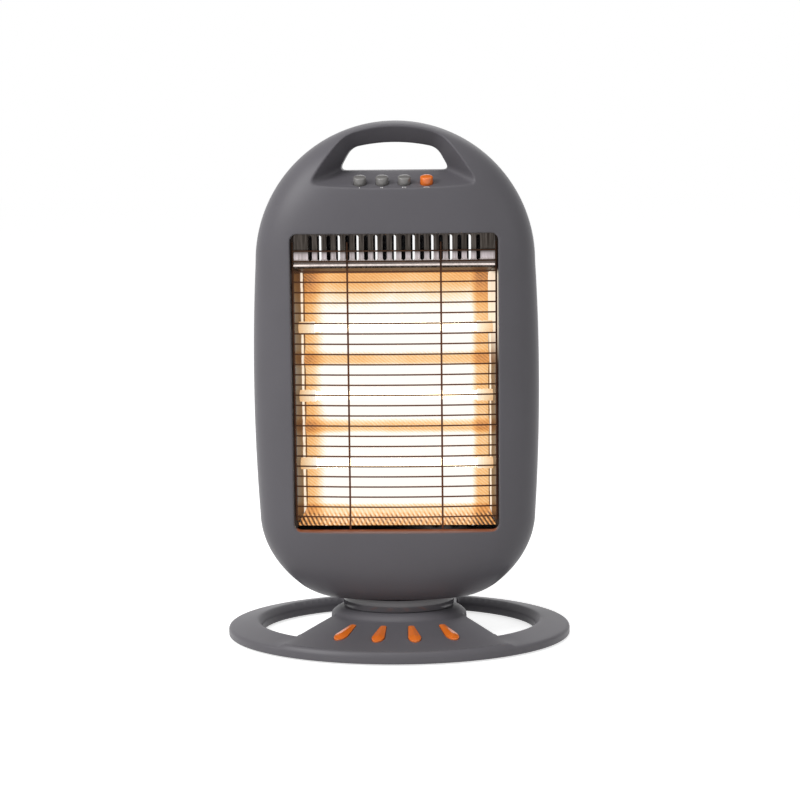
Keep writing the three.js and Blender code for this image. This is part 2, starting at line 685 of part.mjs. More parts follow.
function collarBody() {
  const shell = oval([
    [COLLAR_HALF_WIDTH, COLLAR_HALF_DEPTH, collarBottom],
    [COLLAR_HALF_WIDTH, COLLAR_HALF_DEPTH, COLLAR_TOP],
  ]);
  const inside = oval([
    [COLLAR_HALF_WIDTH - COLLAR_WALL, COLLAR_HALF_DEPTH - COLLAR_WALL, collarBottom - LAP],
    [COLLAR_HALF_WIDTH - COLLAR_WALL, COLLAR_HALF_DEPTH - COLLAR_WALL, collarRoof],
  ]);
  const spindle = bar([0, 0, SPINDLE_END], [0, 0, collarRoof + LAP], SPINDLE_RADIUS, 24);
  const groove = tube(
    [0, 0, clipBottom - SEAT_GAP], [0, 0, clipTop + SEAT_GAP], SPINDLE_RADIUS + LAP, clipGroove, 24);
  const bore = bar([0, 0, 0], [0, 0, COLLAR_TOP + LAP], SPINDLE_BORE, 16);
  const throughRoof = [collarRoof - LAP, COLLAR_TOP + LAP];
  const shaftHole = uprights([[0, -CRANK_OFFSET]], throughRoof, SHAFT_RADIUS + SHAFT_CLEARANCE, 16);
  const screwHoles = uprights(collarScrewSpots, throughRoof, SCREW_RADIUS + SEAT_GAP);
  return cut(join(cut(shell, inside), spindle), groove, bore, ...shaftHole, ...screwHoles);
}

function bushBody() {
  const sleeve = bar([0, 0, flangeBottom], [0, 0, HUB_TOP], bushRadius, 24);
  const flange = bar(
    [0, 0, flangeBottom], [0, 0, flangeBottom + BUSH_FLANGE], bushRadius + BUSH_FLANGE_REACH, 24);
  return cut(join(sleeve, flange), bar([0, 0, 0], [0, 0, HUB_TOP + LAP], bushBore, 24));
}

function clipBody() {
  const outside = SPINDLE_RADIUS + CLIP_REACH;
  const ring = tube([0, 0, clipBottom], [0, 0, clipTop], outside, clipGroove + SEAT_GAP, 24);
  const mouth = box([-CLIP_MOUTH / 2, CLIP_MOUTH / 2], [0, outside + LAP], [clipBottom - LAP, clipTop + LAP]);
  return cut(ring, mouth);
}

function buildSwivel() {
  place('swivel_collar', collarBody(), 'greyPlastic');
  place('swivel_bush', bushBody(), 'whiteNylon');
  const washer = tube([0, 0, washerBottom], [0, 0, washerTop], bushRadius + WASHER_REACH, bushBore, 24);
  place('swivel_washer', washer, 'steel');
  place('swivel_clip', clipBody(), 'steel');
  collarScrewSpots.forEach(([x, y], i) => {
    place(`collar_screw_${i + 1}`, screw(COLLAR_SCREW_LENGTH), 'steel', [x, y, collarScrewFace]);
  });
}

// ---- Swing drive ----

const motorBoreTop = MOTOR_BOTTOM + MOTOR_BORE;
const earX = MOTOR_RADIUS + MOTOR_EAR.reach;

function motorBody() {
  const axis = [[0, -CRANK_OFFSET]];
  const [can] = uprights(axis, [MOTOR_BOTTOM, MOTOR_BOTTOM + MOTOR_HEIGHT], MOTOR_RADIUS, 32);
  const [neck] = uprights(
    axis, [MOTOR_BOTTOM - MOTOR_NECK.drop, MOTOR_BOTTOM + LAP], SHAFT_RADIUS + MOTOR_NECK.wall, 16);
  const ears = box(
    [-earX - MOTOR_EAR.end, earX + MOTOR_EAR.end],
    [-CRANK_OFFSET - MOTOR_EAR.halfWidth, -CRANK_OFFSET + MOTOR_EAR.halfWidth],
    [MOTOR_BOTTOM, MOTOR_BOTTOM + MOTOR_EAR.thickness]);
  const [bore] = uprights(axis, [0, motorBoreTop], SHAFT_RADIUS + RUNNING_GAP, 16);
  return cut(join(can, neck, ears), bore);
}

function crankBody() {
  const crankTop = CRANK_BOTTOM + CRANK_THICKNESS;
  const axis = [[0, -CRANK_OFFSET]];
  const pinSpot = [[0, -CRANK_OFFSET - crankRadius]];
  const [eye] = uprights(axis, [CRANK_BOTTOM, crankTop], SHAFT_RADIUS + CRANK_EYE_WALL, 16);
  const arm = box(
    [-CRANK_ARM_HALF_WIDTH, CRANK_ARM_HALF_WIDTH], [-CRANK_OFFSET - crankRadius, -CRANK_OFFSET],
    [CRANK_BOTTOM, crankTop]);
  const [end] = uprights(pinSpot, [CRANK_BOTTOM, crankTop], CRANK_PIN_RADIUS * 2, 16);
  const [pin] = uprights(pinSpot, [hubRoofBelow + CRANK_PIN_LIFT, CRANK_BOTTOM + LAP], CRANK_PIN_RADIUS, 16);
  const [bore] = uprights(axis, [0, crankTop + LAP], SHAFT_RADIUS + SEAT_GAP, 16);
  return cut(join(eye, arm, end, pin), bore);
}

function buildSwingDrive() {
  place('swing_motor', motorBody(), 'steel');
  const shaftEnds = [CRANK_BOTTOM, motorBoreTop - RUNNING_GAP];
  place('motor_shaft', ...uprights([[0, -CRANK_OFFSET]], shaftEnds, SHAFT_RADIUS, 16), 'steel');
  place('drive_crank', crankBody(), 'whiteNylon');
}

// ---- Body shells ----

// Front view of the body, as [x, z] points, drawn in by an inset.
function bodyOutline(inset, share = 0) {
  const shrink = 1 - share;
  const radius = BODY_RADIUS - inset;
  const drop = BOTTOM_DROP - inset;
  const points = [];
  const arcSteps = 20;
  const sideSteps = 3;
  const footSteps = 14;
  for (let i = 0; i < arcSteps; i += 1) {
    const angle = (Math.PI * i) / arcSteps;
    points.push([radius * Math.cos(angle) * shrink, TOP_CENTRE + radius * Math.sin(angle) * shrink]);
  }
  for (let i = 0; i < sideSteps; i += 1) {
    points.push([-sideX(i / sideSteps, radius) * shrink, sideZ(i / sideSteps)]);
  }
  for (let i = 0; i < footSteps; i += 1) {
    const angle = Math.PI + (Math.PI * i) / footSteps;
    points.push([radius * Math.cos(angle) * shrink, BOTTOM_CENTRE + drop * Math.sin(angle) * shrink]);
  }
  for (let i = 0; i < sideSteps; i += 1) {
    points.push([sideX(1 - i / sideSteps, radius) * shrink, sideZ(1 - i / sideSteps)]);
  }
  return points;
}

function sideX(down, radius) {
  return radius + SIDE_BOW * (1 - (2 * down - 1) ** 2);
}

function sideZ(down) {
  return THREE.MathUtils.lerp(TOP_CENTRE, BOTTOM_CENTRE, down);
}

// Depth of the crowned face where the outline is drawn in by a share of its half width.
function crownDepth(depth, share) {
  return depth * (1 - (1 - share) ** CROWN_POWER) ** (1 / CROWN_POWER);
}

// Half of the body, towards the front (side -1) or the rear (side 1).
function bodyHalf(side, depth, inset, shares) {
  const rings = shares.map((share) => bodyOutline(inset, share)
    .map(([x, z]) => [x, side * crownDepth(depth - inset, share), z]));
  return skin(rings);
}

const OUTER_SHARES = [0, 0.006, 0.03, 0.09, 0.2, 0.38, 0.65, 0.96];
const INNER_SHARES = [0, 0.02, 0.12, 0.4, 0.96];

// The handle opening's outline, and the scoop's, at a distance from the middle plane.
function handleOutline(distance, grow) {
  const t = Math.max(0, (distance - HOLE_DEPTH) / (SCOOP_DEPTH - HOLE_DEPTH));
  const size = Object.fromEntries(Object.keys(HOLE).map((key) => [
    key, THREE.MathUtils.lerp(HOLE[key], SCOOP[key], t)]));
  const bottom = size.bottom - grow;
  const lower = size.lower + grow;
  const upper = size.upper + grow;
  const rise = size.shoulder - bottom;
  const points = [];
  const corner = (cx, cz, fromX, fromZ, toX, toZ) => {
    for (let i = 0; i <= 3; i += 1) {
      const u = i / 3;
      const [a, b, c] = [(1 - u) ** 2, 2 * u * (1 - u), u ** 2];
      points.push([a * fromX + b * cx + c * toX, a * fromZ + b * cz + c * toZ]);
    }
  };
  const share = size.corner / rise;
  const sideAtCorner = THREE.MathUtils.lerp(lower, upper, share);
  corner(lower, bottom, lower - size.corner, bottom, sideAtCorner, bottom + size.corner);
  const archSteps = 8;
  const crown = size.crown + grow - size.shoulder;
  for (let i = 0; i <= archSteps; i += 1) {
    const x = upper * (1 - (2 * i) / archSteps);
    points.push([x, size.shoulder + crown * (1 - (x / upper) ** 2)]);
  }
  corner(-lower, bottom, -sideAtCorner, bottom + size.corner, size.corner - lower, bottom);
  return points;
}

// The space of the opening and its scoop on one side of the middle plane.
function handleSpace(side, grow) {
  const distances = [-1, HOLE_DEPTH, SCOOP_DEPTH + 14];
  return skin(distances.map((distance) => handleOutline(distance, grow)
    .map(([x, z]) => [x, side * distance, z])));
}

const shelfTilt = Math.atan2(HOLE.bottom - SCOOP.bottom, SCOOP_DEPTH - HOLE_DEPTH);
const buttonY = -(HOLE_DEPTH + BUTTON_DISTANCE);
const buttonZ = HOLE.bottom - BUTTON_DISTANCE * Math.tan(shelfTilt);
const shellScrewFace = SCREW_SEAT + SEAT_GAP + SCREW_HEAD_HEIGHT;

// A frame on the shelf at one button's place, with Z out of the shelf.
function shelfMatrix(x) {
  const matrix = new THREE.Matrix4().makeTranslation(x, buttonY, buttonZ);
  return matrix.multiply(new THREE.Matrix4().makeRotationX(shelfTilt));
}

const switchTop = -(BUTTON_SKIRT + BUTTON_TRAVEL + SWITCH_CLEARANCE);
const switchEarX = SWITCH_HALF_LENGTH + SWITCH_EAR.reach;
const beyond = Math.max(FRONT_DEPTH, REAR_DEPTH) + 30; // past the body's front and rear

// Hollow half of the body with its floor and its handle walls.
function shellHalf(side, depth) {
  const outer = bodyHalf(side, depth, 0, OUTER_SHARES);
  const inner = bodyHalf(side, depth, BODY_WALL, INNER_SHARES);
  const handle = handleSpace(side, BODY_WALL);
  const floor = box([-BODY_RADIUS, BODY_RADIUS], [-beyond, beyond], [0, FLOOR_LEVEL + BODY_WALL]);
  return { outer, hollow: cut(inner, handle, floor) };
}

// Opens the handle and the floor, and cuts the body off at its floor and at the split.
function finishShell(side, body) {
  const wide = [-BODY_RADIUS * 2, BODY_RADIUS * 2];
  const below = box(wide, [-beyond, beyond], [0, FLOOR_LEVEL]);
  const across = side < 0 ? [-SEAT_GAP / 2, beyond] : [-beyond, SEAT_GAP / 2];
  const split = box(wide, across, [0, TOP_CENTRE + BODY_RADIUS * 2]);
  const driveHole = box(
    [-DRIVE_HOLE.halfWidth, DRIVE_HOLE.halfWidth], [-CRANK_OFFSET - DRIVE_HOLE.front, DRIVE_HOLE.back],
    [FLOOR_LEVEL - LAP, FLOOR_LEVEL + BODY_WALL + LAP]);
  const holeTop = collarScrewFace + COLLAR_SCREW_LENGTH + SCREW_TIP_ROOM;
  const screwHoles = uprights(collarScrewSpots, [0, holeTop], SCREW_RADIUS + SEAT_GAP);
  return cut(body, handleSpace(side, 0), below, split, driveHole, ...screwHoles);
}

function collarBosses(side) {
  const spots = collarScrewSpots.filter(([, y]) => y * side > 0);
  return uprights(spots, [FLOOR_LEVEL + LAP, FLOOR_LEVEL + COLLAR_BOSS_HEIGHT], BOSS_RADIUS);
}

function frontShell() {
  const { outer, hollow } = shellHalf(-1, FRONT_DEPTH);
  const frame = prismY(roundedRect(
    WINDOW_HALF_WIDTH + BODY_WALL, WINDOW_BOTTOM - BODY_WALL, WINDOW_TOP + BODY_WALL,
    WINDOW_CORNER + BODY_WALL), [-beyond, FRAME_BACK]);
  const window = prismY(
    roundedRect(WINDOW_HALF_WIDTH, WINDOW_BOTTOM, WINDOW_TOP, WINDOW_CORNER), [-beyond, FRAME_BACK + LAP]);
  const motorPosts = uprights([[-earX, -CRANK_OFFSET], [earX, -CRANK_OFFSET]],
    [FLOOR_LEVEL + LAP, MOTOR_BOTTOM - SEAT_GAP], POST_RADIUS);
  const screwBosses = pegs(SHELL_SCREWS, [-FRONT_DEPTH, -SEAT_GAP], BOSS_RADIUS);
  const tipDepth = SHELL_SCREW_LENGTH - shellScrewFace + SCREW_TIP_ROOM;
  const screwHoles = pegs(SHELL_SCREWS, [-tipDepth, LAP], SCREW_RADIUS + SEAT_GAP);
  const switchPosts = uprights(
    [[-switchEarX, 0], [switchEarX, 0]], [switchTop + SEAT_GAP, -BODY_WALL / 2], POST_RADIUS)
    .map((post) => moved(post, shelfMatrix(0)));
  const buttonHoles = BUTTON_X.map((x) => moved(
    bar([0, 0, -BODY_WALL * 3], [0, 0, BODY_WALL], BUTTON_RADIUS + RUNNING_GAP, 16), shelfMatrix(x)));
  const added = join(frame, ...motorPosts, ...screwBosses, ...switchPosts, ...collarBosses(-1));
  const body = join(cut(outer, hollow), added.intersect(outer));
  return cut(finishShell(-1, body), window, ...screwHoles, ...buttonHoles);
}

const shieldBack = SHIELD_Y + SHEET;
const shieldPostPlaces = [SHIELD_BOTTOM, SHIELD_TOP].flatMap((z, i) => [-SHIELD_POST_X, SHIELD_POST_X]
  .map((x) => [x, z + (i ? -SHIELD_POST_INSET : SHIELD_POST_INSET)]));
const terminalBack = TERMINAL_BLOCK.front + TERMINAL_BLOCK.depth;
const glandInnerFace = REAR_DEPTH - GLAND_HEAD.start - SCREW_TIP_ROOM;

function rearShell() {
  const { outer, hollow } = shellHalf(1, REAR_DEPTH);
  const screwBosses = pegs(SHELL_SCREWS, [SEAT_GAP / 2, REAR_DEPTH], BOSS_RADIUS + LAP);
  const shieldPosts = pegs(shieldPostPlaces, [shieldBack + SEAT_GAP, REAR_DEPTH], POST_RADIUS);
  const terminalPost = pegs(
    [[TERMINAL_X, TERMINAL_LEVEL]], [terminalBack + SEAT_GAP, REAR_DEPTH], TERMINAL_POST_RADIUS);
  const glandPad = pegs([[0, GLAND_LEVEL]], [glandInnerFace, glandInnerFace + GLAND_HEAD.start],
    GLAND_RADIUS + GLAND_PAD_WALL, 12);
  const added = join(...screwBosses, ...shieldPosts, ...terminalPost, ...collarBosses(1));
  const body = join(cut(outer, hollow), added.intersect(outer), ...glandPad);
  const vent = (x, [bottom, top]) => box(
    [x - REAR_VENT_WIDTH / 2, x + REAR_VENT_WIDTH / 2], [SHIELD_Y, beyond], [bottom, top]);
  const upperVents = REAR_VENT_X.map((x) => vent(x, UPPER_VENT));
  const lowerVents = REAR_VENT_X.filter((x) => Math.abs(x) > LOWER_VENT_CLEAR)
    .map((x) => vent(x, LOWER_VENT));
  const screwHoles = [
    ...pegs(SHELL_SCREWS, [0, REAR_DEPTH], SCREW_RADIUS + SEAT_GAP),
    ...pegs(SHELL_SCREWS, [SCREW_SEAT, beyond], SCREW_HEAD_RADIUS + RUNNING_GAP),
  ];
  const glandHole = pegs([[0, GLAND_LEVEL]], [SHIELD_Y, beyond], GLAND_RADIUS + SEAT_GAP, 12);
  return cut(finishShell(1, body), ...upperVents, ...lowerVents, ...screwHoles, ...glandHole);
}

function buildShells() {
  place('front_shell', frontShell(), 'greyPlastic');
  place('rear_shell', rearShell(), 'greyPlastic');
  SHELL_SCREWS.forEach(([x, z], i) => {
    const name = `shell_screw_${i + 1}`;
    place(name, screw(SHELL_SCREW_LENGTH), 'steel', [x, shellScrewFace, z], [Math.PI / 2, 0, 0]);
  });
}

// ---- Buttons and switches ----

const stemEnd = switchTop - STEM_LENGTH;

function buttonCap() {
  const rounding = 1;
  return turned([
    [0, stemEnd], [STEM_RADIUS, stemEnd], [STEM_RADIUS, -BUTTON_SKIRT], [BUTTON_RADIUS, -BUTTON_SKIRT],
    [BUTTON_RADIUS, BUTTON_RISE - rounding], [BUTTON_RADIUS - rounding, BUTTON_RISE],
    [0, BUTTON_RISE + rounding / 5],
  ], 16);
}

function switchBank() {
  const housing = box([-SWITCH_HALF_LENGTH, SWITCH_HALF_LENGTH], [-SWITCH_HALF_WIDTH, SWITCH_HALF_WIDTH],
    [switchTop - SWITCH_HEIGHT, switchTop]);
  const earEnd = switchEarX + SWITCH_EAR.end;
  const ears = box([-earEnd, earEnd], [-SWITCH_EAR.halfWidth, SWITCH_EAR.halfWidth],
    [switchTop - SWITCH_EAR.thickness, switchTop]);
  const stemHoles = uprights(BUTTON_X.map((x) => [x, 0]),
    [stemEnd - BUTTON_TRAVEL - STEM_ROOM, switchTop + LAP], STEM_RADIUS + RUNNING_GAP);
  return cut(join(housing, ears), ...stemHoles);
}

function buildButtons() {
  const names = ['heat_button_1', 'heat_button_2', 'heat_button_3', 'swing_button'];
  BUTTON_X.forEach((x, i) => {
    const finish = names[i] === 'swing_button' ? 'orange' : 'buttonGrey';
    place(names[i], buttonCap(), finish, [x, buttonY, buttonZ], [shelfTilt, 0, 0]);
  });
  place('switch_bank', switchBank(), 'blackPlastic', [0, buttonY, buttonZ], [shelfTilt, 0, 0]);
}

// ---- Heating chamber ----

const chamberRear = CHAMBER_BACK + SHEET * 2;

// Plan of the chamber between the end plates, drawn in by a gap at each side.
function chamberPlan(gap) {
  const front = CHAMBER_FRONT_HALF - gap;
  const back = CHAMBER_BACK_HALF - gap;
  return [[-front, CHAMBER_FRONT], [front, CHAMBER_FRONT], [back, chamberRear], [-back, chamberRear]];
}

function reflectorBody() {
  const ridges = [(LAMP_LEVELS[0] + LAMP_LEVELS[1]) / 2, (LAMP_LEVELS[1] + LAMP_LEVELS[2]) / 2];
  const edge = CHAMBER_FRONT + SHEET;
  const bend = CHAMBER_BACK - REFLECTOR_BEND.depth;
  const top = REFLECTOR_TOP - REFLECTOR_TAPER;
  const bottom = REFLECTOR_BOTTOM + REFLECTOR_TAPER;
  const path = [
    [edge, REFLECTOR_TOP], [bend, top], [CHAMBER_BACK, top - REFLECTOR_BEND.height],
    ...ridges.flatMap((z) => [
      [CHAMBER_BACK, z + RIDGE_HALF_HEIGHT], [CHAMBER_BACK - RIDGE_DEPTH, z],
      [CHAMBER_BACK, z - RIDGE_HALF_HEIGHT],
    ]),
    [CHAMBER_BACK, bottom + REFLECTOR_BEND.height], [bend, bottom], [edge, REFLECTOR_BOTTOM],
  ];
  const sheet = prismX(sheetOutline(path, -SHEET), [-CHAMBER_FRONT_HALF, CHAMBER_FRONT_HALF]);
  return sheet.intersect(prismZ(chamberPlan(RUNNING_GAP), [WINDOW_BOTTOM, WINDOW_TOP]));
}

function endPlate(side) {
  const behindReflector = chamberRear + SHEET + SEAT_GAP;
  const path = [
    [CHAMBER_BACK_HALF - CAP_POCKET, behindReflector], [CHAMBER_BACK_HALF, behindReflector],
    [CHAMBER_FRONT_HALF, CHAMBER_FRONT], [WINDOW_HALF_WIDTH + BODY_WALL, CHAMBER_FRONT]];
  const plate = prismZ(sheetOutline(path, -SHEET), [WINDOW_BOTTOM, WINDOW_TOP]);
  const holes = LAMP_LEVELS.map((z) => bar(
    [CAP_INNER_END, LAMP_Y, z], [CAP_OUTER_END, LAMP_Y, z], CAP_RADIUS + RUNNING_GAP, 16));
  const right = cut(plate, ...holes);
  return side > 0 ? right : right.mirror([1, 0, 0]);
}

function ventPlate() {
  const top = WINDOW_TOP + BODY_WALL;
  const path = [
    [CHAMBER_FRONT - VENT_LIP, VENT_BOTTOM - SHEET * 2], [CHAMBER_FRONT - VENT_LIP, VENT_BOTTOM],
    [CHAMBER_FRONT, VENT_BOTTOM + SHEET * 2], [CHAMBER_FRONT, top]];
  const half = CHAMBER_FRONT_HALF - RUNNING_GAP;
  const plate = prismX(sheetOutline(path, SHEET), [-half, half]);
  const firstSlot = (-(SLOT_COUNT - 1) / 2) * SLOT_PITCH;
  const depth = [CHAMBER_FRONT - SHEET * 2, CHAMBER_FRONT + SHEET * 2];
  const slots = Array.from({ length: SLOT_COUNT }, (_, i) => firstSlot + i * SLOT_PITCH)
    .map((x) => box([x - SLOT_WIDTH / 2, x + SLOT_WIDTH / 2], depth, [SLOT_BOTTOM, SLOT_TOP]));
  return cut(plate, ...slots);
}

function lampCap(side, z) {
  const x = (distance) => [side * distance, LAMP_Y, z];
  return cut(
    bar(x(CAP_INNER_END), x(CAP_OUTER_END), CAP_RADIUS, LAMP_SIDES),
    bar(x(CAP_INNER_END - LAP), x(CAP_INNER_END + CAP_POCKET), TUBE_RADIUS + SEAT_GAP, LAMP_SIDES),
    bar(x(CAP_INNER_END), x(CAP_INNER_END + CAP_POCKET * 2), FILAMENT_RADIUS + SEAT_GAP, HIDDEN_SIDES));
}

function buildLamps() {
  const filamentHalf = CAP_INNER_END + CAP_POCKET * 1.5;
  LAMP_LEVELS.forEach((z, i) => {
    const ends = (half) => [[-half, LAMP_Y, z], [half, LAMP_Y, z]];
    const quartz = tube(...ends(TUBE_HALF_LENGTH), TUBE_RADIUS, TUBE_RADIUS - TUBE_WALL, LAMP_SIDES);
    place(`lamp_tube_${i + 1}`, quartz, 'quartz');
    place(`filament_${i + 1}`, bar(...ends(filamentHalf), FILAMENT_RADIUS, HIDDEN_SIDES), 'filament');
    place(`lamp_cap_${i + 1}_left`, lampCap(-1, z), 'ceramic');
    place(`lamp_cap_${i + 1}_right`, lampCap(1, z), 'ceramic');
  });
}

function buildChamber() {
  place('reflector', reflectorBody(), 'aluminium');
  place('end_plate_left', endPlate(-1), 'aluminium');
  place('end_plate_right', endPlate(1), 'aluminium');
  place('vent_plate', ventPlate(), 'aluminium');
  buildLamps();
}

// ---- Guard ----

function guardY(x) {
  return GUARD_EDGE_Y - GUARD_BOW * (1 - (x / WINDOW_HALF_WIDTH) ** 2);
}

const borderX = WINDOW_HALF_WIDTH - SEAT_GAP - BORDER_RADIUS;

// A wire across the window, bowed forward in the middle.
function crossWire(z, radius) {
  const half = borderX;
  const steps = 4;
  const points = Array.from({ length: steps + 1 }, (_, i) => {
    const x = half * ((2 * i) / steps - 1);
    return new THREE.Vector3(x, guardY(x), z);
  });
  const section = new THREE.Shape(ellipse(radius, radius, 4).map(([u, v]) => new THREE.Vector2(u, v)));
  const path = new THREE.CatmullRomCurve3(points);
  return solid(new THREE.ExtrudeGeometry(section, { steps, extrudePath: path }));
}

function guardBody() {
  const pitch = (WIRE_TOP - WIRE_BOTTOM) / (WIRE_COUNT - 1);
  const levels = Array.from({ length: WIRE_COUNT }, (_, i) => WIRE_BOTTOM + i * pitch);
  const ends = [WINDOW_BOTTOM + WINDOW_CORNER, WINDOW_TOP - WINDOW_CORNER];
  const across = levels.map((z) => crossWire(z, WIRE_RADIUS));
  const upright = (x, bottom) => {
    const front = guardY(x) + WIRE_RADIUS / 2;
    return box([x - BORDER_RADIUS, x + BORDER_RADIUS], [front, front + 2 * BORDER_RADIUS], [bottom, ends[1]]);
  };
  const borders = [-borderX, borderX].map((x) => upright(x, ends[0]));
  const inner = [-INNER_WIRE_X, INNER_WIRE_X].map((x) => upright(x, WINDOW_BOTTOM + SEAT_GAP));
  return join(...across, ...borders, ...inner);
}

// ---- Fittings inside the rear shell ----

function cutoutBody() {
  const front = CHAMBER_BACK + SHEET + SEAT_GAP;
  const { radius, height, tabHalfLength, tabHalfHeight } = CUTOUT;
  const [can] = pegs([[0, CUTOUT_LEVEL]], [front, front + height], radius, 20);
  const tab = box([-tabHalfLength, tabHalfLength], [front, front + SHEET],
    [CUTOUT_LEVEL - tabHalfHeight, CUTOUT_LEVEL + tabHalfHeight]);
  return join(can, tab);
}

function terminalBody() {
  const { front, halfLength, halfHeight } = TERMINAL_BLOCK;
  const block = box([TERMINAL_X - halfLength, TERMINAL_X + halfLength], [front, terminalBack],
    [TERMINAL_LEVEL - halfHeight, TERMINAL_LEVEL + halfHeight]);
  const places = [-1, 0, 1].map((step) => [TERMINAL_X + step * TERMINAL_WELL.pitch, TERMINAL_LEVEL]);
  return cut(block, ...pegs(places, [front - LAP, front + TERMINAL_WELL.depth], TERMINAL_WELL.radius));
}

function glandBody() {
  const { reach, start, edge, end } = GLAND_HEAD;
  return turned([
    [GLAND_BORE, 0], [GLAND_RADIUS, 0], [GLAND_RADIUS, start + SEAT_GAP],
    [GLAND_RADIUS + reach, start + SEAT_GAP], [GLAND_RADIUS + reach, edge],
    [GLAND_BORE + BODY_WALL, end], [GLAND_BORE, end], [GLAND_BORE, 0],
  ], 12);
}

function buildFittings() {
  const shield = box(
    [-SHIELD_HALF_WIDTH, SHIELD_HALF_WIDTH], [SHIELD_Y, shieldBack], [SHIELD_BOTTOM, SHIELD_TOP]);
  place('heat_shield', shield, 'steel');
  place('thermal_cutout', cutoutBody(), 'blackPlastic');
  place('terminal_block', terminalBody(), 'ceramic');
  place('cord_gland', glandBody(), 'blackPlastic', [0, glandInnerFace, GLAND_LEVEL], [-Math.PI / 2, 0, 0]);
}

buildBase();
buildTipSwitch();
buildSwivel();
buildSwingDrive();
buildShells();
buildButtons();
buildChamber();
place('guard_grille', guardBody(), 'wire');
buildFittings();

export default heater;
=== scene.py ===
"""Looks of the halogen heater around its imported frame, laid out as an add-on and run as a script."""
import json
import math

import bmesh
import bpy
import numpy as np
from mathutils import Euler, Matrix, Vector
from mathutils.geometry import delaunay_2d_cdt


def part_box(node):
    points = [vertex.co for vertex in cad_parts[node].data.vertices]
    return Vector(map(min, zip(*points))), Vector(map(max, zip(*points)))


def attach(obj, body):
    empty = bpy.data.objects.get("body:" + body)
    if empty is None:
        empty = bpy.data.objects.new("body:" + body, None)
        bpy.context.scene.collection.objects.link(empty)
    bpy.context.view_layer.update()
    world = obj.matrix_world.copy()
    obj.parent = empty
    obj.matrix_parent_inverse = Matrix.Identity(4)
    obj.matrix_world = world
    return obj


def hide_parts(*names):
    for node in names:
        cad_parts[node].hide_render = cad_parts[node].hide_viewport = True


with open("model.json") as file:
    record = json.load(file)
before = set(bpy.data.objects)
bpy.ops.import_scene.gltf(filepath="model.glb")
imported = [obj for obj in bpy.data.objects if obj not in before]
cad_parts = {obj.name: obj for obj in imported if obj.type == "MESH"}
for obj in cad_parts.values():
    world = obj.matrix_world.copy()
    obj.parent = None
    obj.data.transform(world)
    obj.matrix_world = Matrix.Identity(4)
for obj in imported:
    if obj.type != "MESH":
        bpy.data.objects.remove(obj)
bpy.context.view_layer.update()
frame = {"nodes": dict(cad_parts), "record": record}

bl_info = {
    "name": "Halogen heater",
    "version": (1, 0, 0),
    "blender": (4, 5, 0),
    "location": "3D View > Sidebar > Heater",
    "description": "Builds the visible pieces of a halogen heater around its frame",
    "category": "Object",
}

MM = 0.001

# Sizes and places in millimetres. Of the body's two halves, the front has side -1 and the rear has side 1.
BODY_RADIUS, TOP_CENTRE, BOTTOM_CENTRE, BOTTOM_DROP, SIDE_BOW = 152.0, 415.0, 140.0, 115.0, 4.2
FRONT_DEPTH, REAR_DEPTH, FLOOR_LEVEL, CROWN_POWER = 61.0, 53.0, 46.3, 3.0
FOOT_ROUND, EDGE_DEPTH = 12.0, 0.8
NOTCH_HALF, NOTCH_END = 9.0, {-1: 32.0, 1: 9.0}
COLLAR_SCREWS = ((-42.0, 17.0), (42.0, 17.0))
# The seam's edge rolls in: how far it lies under the surface, and how far from the middle plane.
SEAM = 0.15
SEAM_ROLL = ((0.0, 0.55), (0.12, 0.3), (0.4, SEAM))
# The front half ends in a tongue behind the rear half's flange, so no light comes through the seam.
SEAM_END = {-1: ((2.4, SEAM), (2.4, -1.6)), 1: ((2.0, SEAM),)}
WINDOW = dict(half=111.2, bottom=125.8, top=448.0, corner=8.0, back=-42.0)

# The handle's opening is narrow in the middle of the body and widens to a scoop at the front and the rear.
HOLE_DEPTH, SCOOP_DEPTH = 14.0, 62.0
HOLE = dict(bottom=514.0, lower=60.0, upper=46.5, shoulder=538.0, crown=544.0, corner=8.0, blend=8.0)
SCOOP = dict(bottom=494.4, lower=104.0, upper=57.5, shoulder=587.3, crown=605.7, corner=11.0, blend=14.0)
SHELF_TILT = math.atan2(HOLE["bottom"] - SCOOP["bottom"], SCOOP_DEPTH - HOLE_DEPTH)
SHELF_DOWN = np.array([0, math.sin(SHELF_TILT), -math.cos(SHELF_TILT)])
BUTTON_X = (-35.5, -11.8, 11.8, 35.5)
BUTTON_DISTANCE, BUTTON_LEVEL, BUTTON_TILT = 45.8, 502.075, math.atan2(18, 48)
# A button's well and its cap, by radius and depth or height, and the printed marks in front of the buttons.
BUTTON_WELL = ((7.6, 0), (7.35, 0.07), (7.2, 0.4), (7.2, 3.0))
CAP_PROFILE = [(0.01, -9.6), (2, -9.6), (2, -6), (6.6, -6), (6.8, -5.7), (6.8, 5.2), (6.65, 5.75), (6.3, 6.15),
               (5.8, 6.35), (4.6, 6.62), (3.0, 6.82), (1.4, 6.92), (0.01, 6.95)]
MARK = dict(width=0.7, pitch=1.7, near=54.6, far=57.0, sunk=-0.05, raised=0.06)
SWING_MARK = dict(wide=3.4, deep=2.4, far=57.6, turn=1.1)

REAR_VENTS = (-83.2, -62.4, -41.6, -20.8, 0.0, 20.8, 41.6, 62.4, 83.2)
UPPER_VENTS, LOWER_VENTS, LOWER_VENTS_START, VENT_WIDTH, VENT_RIM = (398, 452), (112, 134), 25.0, 6.0, 0.8
GLAND_LEVEL, GLAND_HOLE = 82.0, 6.8
GLAND_PROFILE = [(3.6, 0), (6.5, 0), (6.5, 7.3), (9.2, 7.3), (9.5, 7.6), (9.5, 9.6), (9.0, 10.2), (6.6, 13.6),
                 (6.1, 14), (4.0, 14), (3.6, 13.6)]
SHELL_SCREWS = [(x, z) for x in (-128, 128) for z in (160, 400)]
SCREW_SEAT, SCREW_HOLE, SEAT_LEVEL = 4.0, 2.0, 6.2

